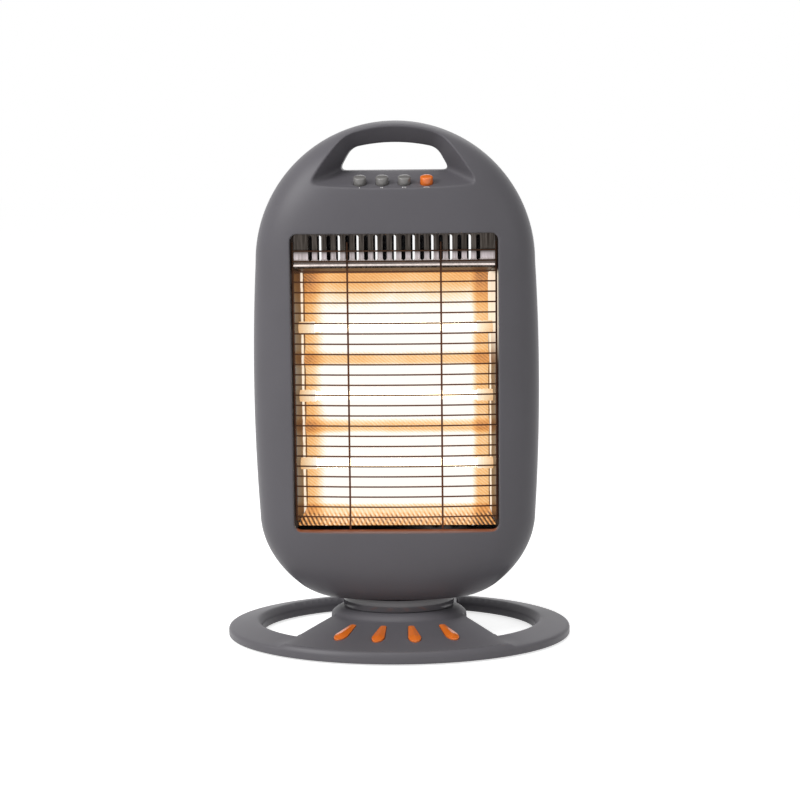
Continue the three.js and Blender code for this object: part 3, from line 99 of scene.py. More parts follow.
# The base: half the width and depth of its outer edge, of its hub, of the ring's crest and of its inner edge.
BASE, HUB, CREST, RING_INNER = (190.0, 143.5), (75.0, 51.0), (161.0, 114.5), (152.0, 105.5)
HUB_TOP, SHOULDER, CREST_TOP, SKIRT, BASE_WALL = 32.0, 24.0, 17.0, 2.0, 2.4
FAN_WAIST, FAN_FLARE, FAN_RUN, FAN_EDGE = 64.0, 0.54, 62.0, 3.5
HUB_STEP, RIDGE = 0.7, 0.5
BUSH_HOLE, CRANK_SLOT = 6.9, dict(half=4.2, near=-7.7, far=-36.4)
FOOT_SPOTS = [(171 * math.cos(math.radians(a)), 124.5 * math.sin(math.radians(a))) for a in (40, 140, 220, 320)]
FOOT_PROFILE = [(0.01, 0), (6.6, 0), (7.4, 0.25), (7.9, 0.9), (8, 1.6), (8, 3), (0.01, 3)]
FOOT_PAD = [(8.3, 2), (11, 2), (11, 12), (0.01, 12), (0.01, 3.3), (8.3, 3.3)]
BASE_SCREWS = [(x, y) for x in (-49.98, 49.98) for y in (-23.74, 23.74)]
SCREW_POST = [(2, 4.3), (5, 4.3), (5, 29), (2, 29)]
COLLAR = dict(wide=61.3, deep=42.0, wall=3.0, bottom=32.5, spindle=4.8, bore=3.0)

# The heating chamber behind the window.
LAMP_PITCH, LAMP_LEVELS, LAMP_Y = 75.0, (344.5, 269.5, 194.5), -14.0
TUBE_PROFILE = [(4.0, -93), (4.6, -93), (5, -92.4), (5, 92.4), (4.6, 93), (4.0, 93)]
LAMP_CAP = [(5.3, 88), (6.1, 88), (6.5, 88.5), (6.5, 92.5), (6.0, 93), (6.0, 94.5), (6.5, 95), (6.5, 111.4),
            (6.0, 112), (1.5, 112), (1.5, 94), (5.3, 94)]
COIL = dict(length=186.0, radius=0.9, wire=0.35)
CHAMBER_FRONT, CHAMBER_BACK, CHAMBER_HALF, CHAMBER_BACK_HALF = -41.7, 14.0, 107.6, 100.6
VENT_PLATE = dict(
    y=-41.9, bottom=416.0, top=450.6, pitch=10.0, count=19, slot=4.4, slot_bottom=419, slot_top=446)
GUARD = dict(
    half=109.0, edge=-46.0, bow=8.0, bow_width=110.5, lowest=141.6, rise=288.2, wire=0.85, upright=1.05)
UPRIGHTS = ((-109.0, 137), (-50.0, 128.4), (50.0, 128.4), (109.0, 137))


# ---- Numbers, colours and nodes ----

def linear(code):
    """Linear RGBA of an sRGB hex colour."""
    parts = [int(code[i:i + 2], 16) / 255 for i in (1, 3, 5)]
    return [p / 12.92 if p <= 0.04045 else ((p + 0.055) / 1.055) ** 2.4 for p in parts] + [1.0]


def per(size):
    """Texture scale whose pattern repeats about every so many millimetres."""
    return 1000.0 / size


def numbered(name, count, end=""):
    """The names of like nodes, such as foot_1 to foot_4."""
    return [f"{name}_{i}{end}" for i in range(1, count + 1)]


def set_inputs(tree, node, inputs):
    """Gives a node's inputs their values, or links them to outputs. A node stands for its first output."""
    for key, value in inputs.items():
        if isinstance(value, bpy.types.Node):
            value = value.outputs[0]
        if isinstance(value, bpy.types.NodeSocket):
            tree.links.new(value, node.inputs[key])
        else:
            node.inputs[key].default_value = value


def add(tree, kind, inputs=None, stops=(), **settings):
    """Adds a node with its inputs, its attributes and, on a colour ramp, stops of place and sRGB hex colour."""
    made = tree.nodes.new(kind)
    for key, value in settings.items():
        setattr(made, key, value)
    set_inputs(tree, made, inputs or {})
    if stops:
        elements = made.color_ramp.elements
        for element, (position, colour) in zip(elements, (stops[0], stops[-1])):
            element.position, element.color = position, linear(colour)
        for position, colour in stops[1:-1]:
            elements.new(position).color = linear(colour)
    return made


# ---- Mesh helpers ----

def unit(vectors):
    return vectors / np.maximum(np.linalg.norm(vectors, axis=-1, keepdims=True), 1e-9)


def oval(wide, deep, angles):
    return np.stack([wide * np.cos(angles), deep * np.sin(angles)], axis=1)


def circle(centre, radius, steps=24):
    angles = np.linspace(0, 2 * math.pi, steps, endpoint=False)
    return oval(radius, radius, angles) + np.array(centre)


def at_depth(points, y):
    """Points of the front view, X and Z, with one Y or one for each."""
    return np.stack([points[:, 0], np.zeros(len(points)) + y, points[:, 1]], axis=1)


def at_height(points, z):
    """Points of the top view, X and Y, with one Z or one for each."""
    return np.column_stack([points, np.zeros(len(points)) + z])


def outward(loop):
    """Normals of a closed flat loop, away from what it encloses."""
    run = unit(np.roll(loop, -1, axis=0) - np.roll(loop, 1, axis=0))
    normal = np.stack([run[:, 1], -run[:, 0]], axis=1)
    following = np.roll(loop, -1, axis=0)
    area = np.sum(loop[:, 0] * following[:, 1] - following[:, 0] * loop[:, 1])
    return normal if area > 0 else -normal


def bend(first, corner, last, steps=4):
    """Rows of points that round a corner from one row to another."""
    return [(1 - t) ** 2 * first + 2 * t * (1 - t) * corner + t * t * last
            for t in np.linspace(0, 1, steps + 1)]


def between(first, last, steps):
    """Evenly spaced rows of points from one row to another."""
    return [first + (last - first) * t for t in np.linspace(0, 1, steps + 1)]


def inside(points, loops):
    """Which points lie within an odd number of closed loops."""
    starts = np.concatenate(loops)
    ends = np.concatenate([np.roll(loop, -1, axis=0) for loop in loops])
    result = np.zeros(len(points), bool)
    for i in range(0, len(points), 2000):
        x, y = points[i:i + 2000, 0:1], points[i:i + 2000, 1:2]
        crosses = (starts[:, 1] > y) != (ends[:, 1] > y)
        drop = np.where(ends[:, 1] == starts[:, 1], 1e-9, ends[:, 1] - starts[:, 1])
        at = starts[:, 0] + (y - starts[:, 1]) * (ends[:, 0] - starts[:, 0]) / drop
        result[i:i + 2000] = (crosses & (x < at)).sum(axis=1) % 2 == 1
    return result


def clear_of(points, loops, gap):
    """The points that keep a gap to the points of the loops."""
    edge = np.concatenate(loops)
    keep = np.ones(len(points), bool)
    for i in range(0, len(points), 2000):
        away = np.linalg.norm(points[i:i + 2000, None] - edge[None], axis=2).min(axis=1)
        keep[i:i + 2000] = away > gap
    return points[keep]


def grid(low, high, pitch):
    """Points in a flat rectangle, with every other row shifted by half a pitch."""
    x, y = np.meshgrid(np.arange(low[0], high[0], float(pitch)), np.arange(low[1], high[1], float(pitch)))
    x[::2] += pitch / 2
    return np.stack([x.ravel(), y.ravel()], axis=1)


def patch(bm, loops, inner, lift):
    """Fills the flat area between closed loops with triangles and lifts it to its place."""
    edges, start = [], 0
    for loop in loops:
        edges += [(start + i, start + (i + 1) % len(loop)) for i in range(len(loop))]
        start += len(loop)
    points = np.concatenate([*loops, inner]) if len(inner) else np.concatenate(loops)
    flat, _, faces, *_ = delaunay_2d_cdt([Vector(p) for p in points], edges, [], 0, 1e-6)
    flat = np.array([tuple(p) for p in flat])
    faces = np.array([f for f in faces if len(f) == 3])
    faces = faces[inside(flat[faces].mean(axis=1), loops)]
    corners = [bm.verts.new(p) for p in lift(flat)]
    for a, b, c in faces:
        bm.faces.new((corners[a], corners[b], corners[c]))


def fill(bm, loops, points, gap, lift):
    """Fills the area between loops, with those of the points that lie in it and keep a gap to the loops."""
    patch(bm, loops, clear_of(points[inside(points, loops)], loops, gap), lift)


def strip(bm, rows, closed=True):
    """Joins rows of points by quads, each row a loop if it is closed."""
    made = [[bm.verts.new(p) for p in row] for row in rows]
    count = len(made[0])
    for low, high in zip(made, made[1:]):
        for i in range(count if closed else count - 1):
            j = (i + 1) % count
            bm.faces.new((low[i], low[j], high[j], high[i]))
    return made


def lathe(bm, profile, steps=32, centre=(0, 0, 0), turn=None, closed=False):
    """A turned piece: [radius, height] pairs about the Z axis, then turned and placed."""
    angles = np.linspace(0, 2 * math.pi, steps, endpoint=False)
    matrix = np.array(turn.to_matrix()) if turn else np.eye(3)
    profile = [*profile, profile[0]] if closed else profile
    rows = [at_height(oval(radius, radius, angles), height) @ matrix.T + np.array(centre)
            for radius, height in profile]
    made = strip(bm, rows)
    if not closed:
        for end in (made[0], made[-1]):
            if (end[0].co - end[steps // 2].co).length > 0.05:
                bm.faces.new(end)


def rounded_path(points, radius, steps=4):
    """An open path whose corners are rounded by a distance along each side."""
    points = [np.array(p, float) for p in points]
    result = [points[0]]
    for before, corner, after in zip(points, points[1:], points[2:]):
        back = min(radius, np.linalg.norm(before - corner) * 0.45) * unit(before - corner)
        ahead = min(radius, np.linalg.norm(after - corner) * 0.45) * unit(after - corner)
        result += bend(corner + back, corner, corner + ahead, steps)
    return np.array(result + [points[-1]])


def spaced(path, pitch, closed=False):
    """The same path with points no further apart than the pitch."""
    path = np.asarray(path, float)
    following = np.roll(path, -1, axis=0) if closed else path[1:]
    result = []
    for a, b in zip(path, following):
        count = max(1, math.ceil(np.linalg.norm(b - a) / pitch))
        result += [a + (b - a) * i / count for i in range(count)]
    return np.array(result if closed else result + [path[-1]])


def slot_loop(x, bottom, top, width, steps=6):
    """An upright slot with round ends."""
    half = width / 2
    turns = np.linspace(0, math.pi, steps + 1)
    upper = [(x + half * math.cos(a), top - half + half * math.sin(a)) for a in turns]
    lower = [(x - half * math.cos(a), bottom + half - half * math.sin(a)) for a in turns]
    return spaced(upper + lower, 4, closed=True)


def window_loop(grow):
    """The window's outline, grown by a distance, with its corners alone."""
    half, low, high = WINDOW["half"] + grow, WINDOW["bottom"] - grow, WINDOW["top"] + grow
    radius = WINDOW["corner"] + grow
    corners = [(half - radius, low + radius, -90), (half - radius, high - radius, 0),
               (radius - half, high - radius, 90), (radius - half, low + radius, 180)]
    turns = np.radians(np.linspace(0, 90, 9))
    return np.concatenate([oval(radius, radius, math.radians(start) + turns) + np.array([x, z])
                           for x, z, start in corners])


def whole_window(grow):
    """The window's outline with the same number of points at any growth."""
    plain, grown = window_loop(0), window_loop(grow)
    result = []
    for a, b, c, d in zip(plain, np.roll(plain, -1, axis=0), grown, np.roll(grown, -1, axis=0)):
        count = max(1, math.ceil(np.linalg.norm(b - a) / 4))
        result += [c + (d - c) * i / count for i in range(count)]
    return np.array(result)


def close(bm, name, facing=None, merge=0.02):
    """Welds, turns the normals outwards and returns a mesh in metres. An open skin faces a given way."""
    bmesh.ops.remove_doubles(bm, verts=bm.verts, dist=merge)
    bmesh.ops.dissolve_degenerate(bm, edges=bm.edges, dist=0.001)
    bmesh.ops.delete(bm, geom=[v for v in bm.verts if not v.link_faces], context="VERTS")
    bmesh.ops.recalc_face_normals(bm, faces=bm.faces)
    if facing is not None:
        way = Vector(facing)
        first = max(bm.faces, key=lambda f: f.calc_center_median().dot(way))
        if first.normal.dot(way) < 0:
            bmesh.ops.reverse_faces(bm, faces=bm.faces)
    bmesh.ops.scale(bm, vec=(MM, MM, MM), verts=bm.verts)
    mesh = bpy.data.meshes.new(name)
    bm.to_mesh(mesh)
    bm.free()
    return mesh


def turn_to(mesh, spot, way):
    """Turns an open sheet so that its face nearest to a spot, in millimetres, looks a given way."""
    nearest = min(mesh.polygons, key=lambda f: (f.center / MM - Vector(spot)).length)
    if nearest.normal.dot(Vector(way)) < 0:
        mesh.flip_normals()


def piece(name, mesh, finish_name, body, stands_for=(), wall=0, sharp=38):
    """Shows a mesh as a piece that rides on a body and stands for CAD nodes."""
    obj = bpy.data.objects.new(name, mesh)
    bpy.context.scene.collection.objects.link(obj)
    mesh.materials.clear()
    mesh.materials.append(FINISHES[finish_name])
    mesh.shade_smooth()
    mesh.set_sharp_from_angle(angle=math.radians(sharp))
    if wall:
        thick = obj.modifiers.new("wall", "SOLIDIFY")
        thick.thickness = wall
        thick.offset = -1
    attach(obj, body)
    if stands_for:
        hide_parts(*stands_for)
    return obj


# ---- Geometry Nodes ----

def tree_with(name, sockets):
    """A new geometry tree with named inputs, and its input node."""
    tree = bpy.data.node_groups.new(name, "GeometryNodeTree")
    tree.interface.new_socket("Geometry", in_out="OUTPUT", socket_type="NodeSocketGeometry")
    for label, kind, default in sockets:
        socket = tree.interface.new_socket(label, in_out="INPUT", socket_type=kind)
        if default is not None:
            socket.default_value = default
    return tree, add(tree, "NodeGroupInput")


def end_tree(tree, geometry, given):
    """Ends a tree in Realize Instances and Set Material."""
    real = add(tree, "GeometryNodeRealizeInstances", {0: geometry})
    shaded = add(tree, "GeometryNodeSetShadeSmooth", {0: real, "Shade Smooth": True})
    painted = add(tree, "GeometryNodeSetMaterial", {0: shaded, "Material": given.outputs["Material"]})
    add(tree, "NodeGroupOutput", {0: painted})
    return tree


def crossing_tree():
    """Bowed wires across an opening, one above the other."""
    tree, given = tree_with("bowed_cross_wires", [
        ("Count", "NodeSocketInt", 27), ("Lowest", "NodeSocketFloat", 0.141),
        ("Pitch", "NodeSocketFloat", 0.011), ("Half Width", "NodeSocketFloat", 0.109),
        ("Edge Y", "NodeSocketFloat", -0.046), ("Bow", "NodeSocketFloat", 0.008),
        ("Bow Width", "NodeSocketFloat", 0.1105), ("Radius", "NodeSocketFloat", 0.00095),
        ("Material", "NodeSocketMaterial", None)])
    take = given.outputs
    left = add(tree, "ShaderNodeMath", {0: take["Half Width"], 1: -1.0}, operation="MULTIPLY")
    start = add(tree, "ShaderNodeCombineXYZ", {"X": left})
    end = add(tree, "ShaderNodeCombineXYZ", {"X": take["Half Width"]})
    line = add(tree, "GeometryNodeCurvePrimitiveLine", {"Start": start, "End": end})
    fine = add(tree, "GeometryNodeResampleCurve", {"Curve": line, "Count": 33})
    spot = add(tree, "ShaderNodeSeparateXYZ", {0: add(tree, "GeometryNodeInputPosition").outputs[0]})
    share = add(tree, "ShaderNodeMath", {0: spot.outputs["X"], 1: take["Bow Width"]}, operation="DIVIDE")
    square = add(tree, "ShaderNodeMath", {0: share, 1: share}, operation="MULTIPLY")
    rest = add(tree, "ShaderNodeMath", {0: 1.0, 1: square}, operation="SUBTRACT")
    bow = add(tree, "ShaderNodeMath", {0: rest, 1: take["Bow"]}, operation="MULTIPLY")
    depth = add(tree, "ShaderNodeMath", {0: take["Edge Y"], 1: bow}, operation="SUBTRACT")
    offset = add(tree, "ShaderNodeCombineXYZ", {"Y": depth, "Z": take["Lowest"]})
    bowed = add(tree, "GeometryNodeSetPosition", {0: fine, "Offset": offset})
    ring = add(tree, "GeometryNodeCurvePrimitiveCircle", {"Resolution": 8, "Radius": take["Radius"]})
    wire = add(tree, "GeometryNodeCurveToMesh", {
        "Curve": bowed, "Profile Curve": ring, "Fill Caps": True})
    step = add(tree, "ShaderNodeCombineXYZ", {"Z": take["Pitch"]})
    rows = add(tree, "GeometryNodeMeshLine", {
        "Count": take["Count"], "Start Location": (0, 0, 0), "Offset": step})
    placed = add(tree, "GeometryNodeInstanceOnPoints", {"Points": rows, "Instance": wire})
    return end_tree(tree, placed, given)


def coil_tree():
    """Filament coils along X, one at each level."""
    tree, given = tree_with("filament_coils", [
        ("Turns", "NodeSocketFloat", 60.0), ("Coil Radius", "NodeSocketFloat", 0.0011),
        ("Wire Radius", "NodeSocketFloat", 0.0004), ("Length", "NodeSocketFloat", 0.186),
        ("Count", "NodeSocketInt", 3), ("Lowest", "NodeSocketVector", (0, 0, 0)),
        ("Step", "NodeSocketVector", (0, 0, 0.075)), ("Material", "NodeSocketMaterial", None)])
    take = given.outputs
    coil = add(tree, "GeometryNodeCurveSpiral", {
        "Resolution": 8, "Rotations": take["Turns"], "Start Radius": take["Coil Radius"],
        "End Radius": take["Coil Radius"], "Height": take["Length"]})
    half = add(tree, "ShaderNodeMath", {0: take["Length"], 1: -0.5}, operation="MULTIPLY")
    shift = add(tree, "ShaderNodeCombineXYZ", {"X": half})
    laid = add(tree, "GeometryNodeTransform", {
        "Geometry": coil, "Translation": shift, "Rotation": (0, math.pi / 2, 0)})
    ring = add(tree, "GeometryNodeCurvePrimitiveCircle", {"Resolution": 5, "Radius": take["Wire Radius"]})
    wire = add(tree, "GeometryNodeCurveToMesh", {
        "Curve": laid, "Profile Curve": ring, "Fill Caps": True})
    rows = add(tree, "GeometryNodeMeshLine", {
        "Count": take["Count"], "Start Location": take["Lowest"], "Offset": take["Step"]})
    placed = add(tree, "GeometryNodeInstanceOnPoints", {"Points": rows, "Instance": wire})
    return end_tree(tree, placed, given)


def places_tree():
    """The same shape at each vertex of another mesh, turned alike."""
    tree, given = tree_with("shape_at_places", [
        ("Places", "NodeSocketObject", None), ("Shape", "NodeSocketObject", None),
        ("Turn", "NodeSocketVector", (0, 0, 0)), ("Material", "NodeSocketMaterial", None)])
    take = given.outputs
    places = add(tree, "GeometryNodeObjectInfo", {"Object": take["Places"]})
    shape = add(tree, "GeometryNodeObjectInfo", {"Object": take["Shape"], "As Instance": True})
    turn = add(tree, "FunctionNodeEulerToRotation", {0: take["Turn"]})
    placed = add(tree, "GeometryNodeInstanceOnPoints", {
        "Points": places.outputs["Geometry"], "Instance": shape.outputs["Geometry"],
        "Rotation": turn})
    return end_tree(tree, placed, given)


def grown(tree, name, values):
    """Runs a geometry tree once and returns its result as a plain mesh."""
    obj = bpy.data.objects.new(name, bpy.data.meshes.new(name))
    bpy.context.scene.collection.objects.link(obj)
    modifier = obj.modifiers.new("shape", "NODES")
    modifier.node_group = tree
    for item in tree.interface.items_tree:
        if item.item_type == "SOCKET" and item.in_out == "INPUT" and item.name in values:
            modifier[item.identifier] = values[item.name]
    bpy.context.view_layer.update()
    mesh = bpy.data.meshes.new_from_object(obj.evaluated_get(bpy.context.evaluated_depsgraph_get()))
    obj.modifiers.remove(modifier)
    bpy.data.objects.remove(obj)
    mesh.name = name
    if not mesh.polygons:
        raise RuntimeError(f"the tree made nothing for {name}")
    return mesh


def repeated(name, shape, places, finish_name, turn=(0, 0, 0)):
    """One mesh with the shape at each place, in millimetres."""
    spots = bpy.data.meshes.new("places")
    spots.from_pydata([tuple(c * MM for c in p) for p in places], [], [])
    helpers = [bpy.data.objects.new("places", spots), bpy.data.objects.new("shape", shape)]
    for helper in helpers:
        bpy.context.scene.collection.objects.link(helper)
    tree = bpy.data.node_groups.get("shape_at_places") or places_tree()
    mesh = grown(tree, name, {
        "Places": helpers[0], "Shape": helpers[1], "Turn": turn, "Material": FINISHES[finish_name]})
    for helper in helpers:
        bpy.data.objects.remove(helper)
    return mesh


def joined(name, meshes):
    """One mesh of several."""
    bm = bmesh.new()
    for mesh in meshes:
        bm.from_mesh(mesh)
    mesh = bpy.data.meshes.new(name)
    bm.to_mesh(mesh)
    bm.free()
    return mesh


# ---- Finishes ----

FINISHES = {}


def finish(name, colour, **values):
    """A new material with its colour and constant values on the shader's own sockets."""
    material = bpy.data.materials.new(name)
    material.use_nodes = True
    tree = material.node_tree
    shader = tree.nodes["Principled BSDF"]
    set_inputs(tree, shader, {"Base Color": linear(colour)})
    set_inputs(tree, shader, {key.replace("_", " "): value for key, value in values.items()})
    FINISHES[name] = material
    return tree, shader, add(tree, "ShaderNodeTexCoord").outputs["Object"]


def vary_colour(tree, shader, place, colour, other, size):
    """Lets the colour drift between two tones over patches of a size."""
    cloud = add(tree, "ShaderNodeTexNoise", {"Vector": place, "Scale": per(size), "Detail": 3.0})
    tone = add(tree, "ShaderNodeMix", {0: cloud, 6: linear(colour), 7: linear(other)}, data_type="RGBA")
    set_inputs(tree, shader, {"Base Color": tone.outputs[2]})
    return cloud


def vary_roughness(tree, shader, source, low, high):
    """Lets the roughness follow a pattern."""
    spread = add(tree, "ShaderNodeMapRange", {"Value": source, "To Min": low, "To Max": high})
    set_inputs(tree, shader, {"Roughness": spread})


def raise_by(tree, shader, source, strength, distance):
    """Lets a pattern stand out of the surface, by a distance in millimetres."""
    bump = add(tree, "ShaderNodeBump", {"Height": source, "Strength": strength, "Distance": distance * MM})
    set_inputs(tree, shader, {"Normal": bump})


def moulded(name, colour, other, grain, depth, low, high, **values):
    """Moulded plastic: a slow drift of tone, and a fine grain that softens the highlights."""
    tree, shader, place = finish(name, colour, **{"IOR": 1.53, "Specular_IOR_Level": 0.3, **values})
    cloud = vary_colour(tree, shader, place, colour, other, 55)
    vary_roughness(tree, shader, cloud, low, high)
    spark = add(tree, "ShaderNodeTexNoise", {"Vector": place, "Scale": per(grain), "Detail": 2.0})
    raise_by(tree, shader, spark, 0.35, depth)
    return tree, shader, place


def zone(tree, place, *fades, times=()):
    """A mask for a part of the object: the product of fades along an axis, and of other masks.

    Each fade has its axis, the two places in millimetres between which it lies, and its level at both.
    """
    axes = add(tree, "ShaderNodeSeparateXYZ", {0: place}).outputs
    masks = list(times)
    for axis, start, end, before, after in fades:
        masks.append(add(tree, "ShaderNodeMapRange", {
            "Value": axes[axis], "From Min": start * MM, "From Max": end * MM,
            "To Min": before, "To Max": after}, interpolation_type="SMOOTHSTEP"))
    mask = masks[0]
    for other in masks[1:]:
        mask = add(tree, "ShaderNodeMath", {0: mask, 1: other}, operation="MULTIPLY")
    return mask


def lit_inside(tree, shader, place, strength):
    """Lets only the faces that look into the heating chamber shine, and not the sheets' outer faces."""
    ahead = add(tree, "ShaderNodeVectorMath", {0: place, 1: (0, -0.2, 0.27)}, operation="SUBTRACT")
    normal = add(tree, "ShaderNodeTexCoord").outputs["Normal"]
    facing = add(tree, "ShaderNodeVectorMath", {0: normal, 1: ahead}, operation="DOT_PRODUCT")
    mask = add(tree, "ShaderNodeMath", {0: facing.outputs["Value"], 1: 0.0}, operation="LESS_THAN")
    level = add(tree, "ShaderNodeMath", {0: mask, 1: strength}, operation="MULTIPLY")
    set_inputs(tree, shader, {"Emission Strength": level})


def body_plastics(look):
    """Spark-eroded ABS of the body and the base: satin, with broad soft highlights."""
    tree, shader, place = moulded(
        "textured_abs", look.shell, "#615f64", 0.7, 0.02, 0.36, 0.44, Specular_IOR_Level=0.22)
    # Painted light: the lamps' light on the window's sill, from behind the guard, is painted on what faces up
    # there as a copper emission and a darker, browner base colour.
    up = add(tree, "ShaderNodeSeparateXYZ", {0: add(tree, "ShaderNodeTexCoord").outputs["Normal"]})
    flat = add(tree, "ShaderNodeMapRange", {"Value": up.outputs["Z"], "From Min": 0.25, "From Max": 0.8})
    sill = zone(tree, place, ("Z", 126.6, 129, 1, 0), ("Z", 120, 123, 0, 1), ("Y", -40, -38, 1, 0),
                ("Y", -62, -44, 0.35, 1), times=[flat])
    plain = shader.inputs["Base Color"].links[0].from_socket
    # painted light: the sill's base colour is darkened towards brown where the lamps' light is painted
    tinted = add(tree, "ShaderNodeMix", {0: sill, 6: plain, 7: linear("#4f3424")}, data_type="RGBA")
    level = add(tree, "ShaderNodeMath", {0: sill, 1: look.throw}, operation="MULTIPLY")
    set_inputs(tree, shader, {
        "Base Color": tinted.outputs[2], "Emission Color": linear("#c8602c"), "Emission Strength": level})
    # The base is moulded from the same ABS with a slightly duller face.
    moulded("base_abs", look.shell, "#626065", 0.7, 0.02, 0.40, 0.48)


def small_plastics(look):
    """The plastics and the rubber of the smaller pieces."""
    # The collar's ABS is polished where it turns: a sharper highlight.
    moulded("polished_abs", "#565458", "#5a585c", 1.2, 0.003, 0.1, 0.15, Specular_IOR_Level=0.6)
    # Button caps in light grey ABS, nearly smooth.
    moulded("button_abs", look.button, "#7d7b79", 1.2, 0.004, 0.12, 0.18, Specular_IOR_Level=0.6)
    # Mass-coloured orange ABS with a semi-gloss face; a little light gets into it.
    moulded("orange_abs", look.accent, "#ef7b28", 1.2, 0.004, 0.12, 0.18, Specular_IOR_Level=0.55,
            Subsurface_Weight=0.05)
    # Black polyamide of the gland and the inner housings: a dull, grainy moulding.
    moulded("black_polyamide", "#1b1b1c", "#222224", 0.5, 0.03, 0.42, 0.55)
    # Uncoloured nylon of the bearing and the crank: waxy white that light gets into.
    moulded("natural_nylon", "#ded9cd", "#e6e1d6", 0.8, 0.01, 0.34, 0.42, Subsurface_Weight=0.1)
    # Feet of vulcanised rubber: matte, with a dusty bloom.
    tree, shader, place = finish("vulcanised_rubber", "#1c1b1b", IOR=1.52, Roughness=0.8)
    bloom = vary_colour(tree, shader, place, "#191818", "#292726", 6)
    raise_by(tree, shader, bloom, 0.3, 0.05)
    # Pad-printed marks in white ink: matte, with a slightly uneven film.
    tree, shader, place = finish("printed_ink", "#e9e8e6", IOR=1.5, Roughness=0.45)
    ink = add(tree, "ShaderNodeTexNoise", {"Vector": place, "Scale": per(0.6), "Detail": 1.0})
    vary_roughness(tree, shader, ink, 0.4, 0.55)


def stucco(tree, place):
    """Slanting embossed ribs of about 3 mm, broken along their length and speckled."""
    slant = add(tree, "ShaderNodeMapping", {"Vector": place, "Rotation": (0, math.radians(52), 0)})
    axes = add(tree, "ShaderNodeSeparateXYZ", {0: slant})
    waves = []
    for axis, pitch in (("X", 2.9), ("Z", 4.6)):
        turn = add(tree, "ShaderNodeMath", {0: axes.outputs[axis], 1: 2 * math.pi * per(pitch)},
                   operation="MULTIPLY")
        waves.append(add(tree, "ShaderNodeMath", {0: turn}, operation="SINE"))
    broken = add(tree, "ShaderNodeMath", {0: waves[1], 1: 0.3, 2: 0.7}, operation="MULTIPLY_ADD")
    ribs = add(tree, "ShaderNodeMath", {0: waves[0], 1: broken}, operation="MULTIPLY")
    speckle = add(tree, "ShaderNodeTexNoise", {"Vector": place, "Scale": per(4.0), "Detail": 2.0})
    centred = add(tree, "ShaderNodeMath", {0: speckle, 1: 0.5}, operation="SUBTRACT")
    return add(tree, "ShaderNodeMath", {0: centred, 1: 1.2, 2: ribs}, operation="MULTIPLY_ADD")


def painted_glow_of(tree, place, roof):
    """Strength of the painted glow, the lamps' light painted on the reflector as emission: white behind the
    lamps, dimmer at the folds and the edges.
    """
    z = add(tree, "ShaderNodeSeparateXYZ", {0: place}).outputs["Z"]
    held = add(tree, "ShaderNodeClamp", {0: z, 1: (LAMP_LEVELS[2] - 26) * MM, 2: (LAMP_LEVELS[0] + 26) * MM})
    along = add(tree, "ShaderNodeMath", {0: held, 1: LAMP_LEVELS[2] * MM}, operation="SUBTRACT")
    away = add(tree, "ShaderNodeMath", {0: along, 1: LAMP_PITCH / 2 * MM}, operation="PINGPONG")
    behind = add(tree, "ShaderNodeMapRange", {
        "Value": away, "From Min": 27 * MM, "From Max": 35 * MM, "To Min": 1.1, "To Max": 0.6},
        interpolation_type="SMOOTHSTEP")
    # The roof's painted shade, and a dimmer painted glow on the tray's floor towards its back.
    shaded = add(tree, "ShaderNodeMath", {0: roof, 1: -0.93, 2: 1.0}, operation="MULTIPLY_ADD")
    floor = zone(tree, place, ("Z", 142, 146, 1, 0), ("Y", -30, 8, 0.62, 0.36))
    cooler = add(tree, "ShaderNodeMath", {0: floor, 1: -1.0, 2: 1.0}, operation="MULTIPLY_ADD")
    drift = add(tree, "ShaderNodeTexNoise", {"Vector": place, "Scale": per(45), "Detail": 2.0})
    uneven = add(tree, "ShaderNodeMapRange", {
        "Value": drift, "From Min": 0.3, "From Max": 0.7, "To Min": 0.9, "To Max": 1.1})
    return zone(tree, place, ("Z", 350, 398, 1.0, 0.46), ("X", -96, -74, 0.5, 1.0), ("X", 80, 90, 1.0, 0.52),
                times=[behind, shaded, cooler, uneven])


def reflector_sheet(look):
    """Stuccoed aluminium with painted light: the lamps' light is painted on it as emission, its ribs sparkling,
    white behind the lamps, amber elsewhere.
    """
    tree, shader, place = finish(
        "stuccoed_aluminium", "#4b4037", Metallic=1.0, Roughness=0.38, Specular_IOR_Level=0.1)
    relief = stucco(tree, place)
    raise_by(tree, shader, relief, 0.5, 0.15)
    # Painted shade: the tray's roof lies in the shade of the vent plate's lip, so it is painted as a dull,
    # non-metallic surface, nearly black.
    roof = zone(tree, place, ("Z", 398, 401, 0, 1), ("Y", 7, 11, 1, 0))
    bright = add(tree, "ShaderNodeMath", {0: 1.0, 1: roof}, operation="SUBTRACT")
    shade = add(tree, "ShaderNodeMix", {0: roof, 6: linear("#4b4037"), 7: linear("#1c1511")}, data_type="RGBA")
    # In the painted glow the ribs show most on the tray's floor, which the lamps light at a grazing angle.
    floor = zone(tree, place, ("Z", 142, 146, 1, 0), ("Y", -16, -4, 1, 0.2))
    depth = add(tree, "ShaderNodeMath", {0: floor, 1: 0.26, 2: 0.075}, operation="MULTIPLY_ADD")
    painted_glow_strength = painted_glow_of(tree, place, roof)
    # Painted glow: the ribs and the glow's strength give a level, and the level a colour from dark brown
    # through amber to white, on the emission.
    heat = add(tree, "ShaderNodeMath", {0: relief, 1: depth, 2: painted_glow_strength}, operation="MULTIPLY_ADD")
    glow = add(tree, "ShaderNodeValToRGB", {0: heat}, stops=[
        (0.02, "#1d1410"), (0.14, "#5e3d28"), (0.34, "#d58e4e"), (0.5, "#f0b26c"), (0.64, "#f6cf9c"),
        (0.8, "#fdeacb"), (0.96, "#fffdf7")])
    set_inputs(tree, shader, {"Metallic": bright, "Base Color": shade.outputs[2], "Emission Color": glow})
    lit_inside(tree, shader, place, look.glow)


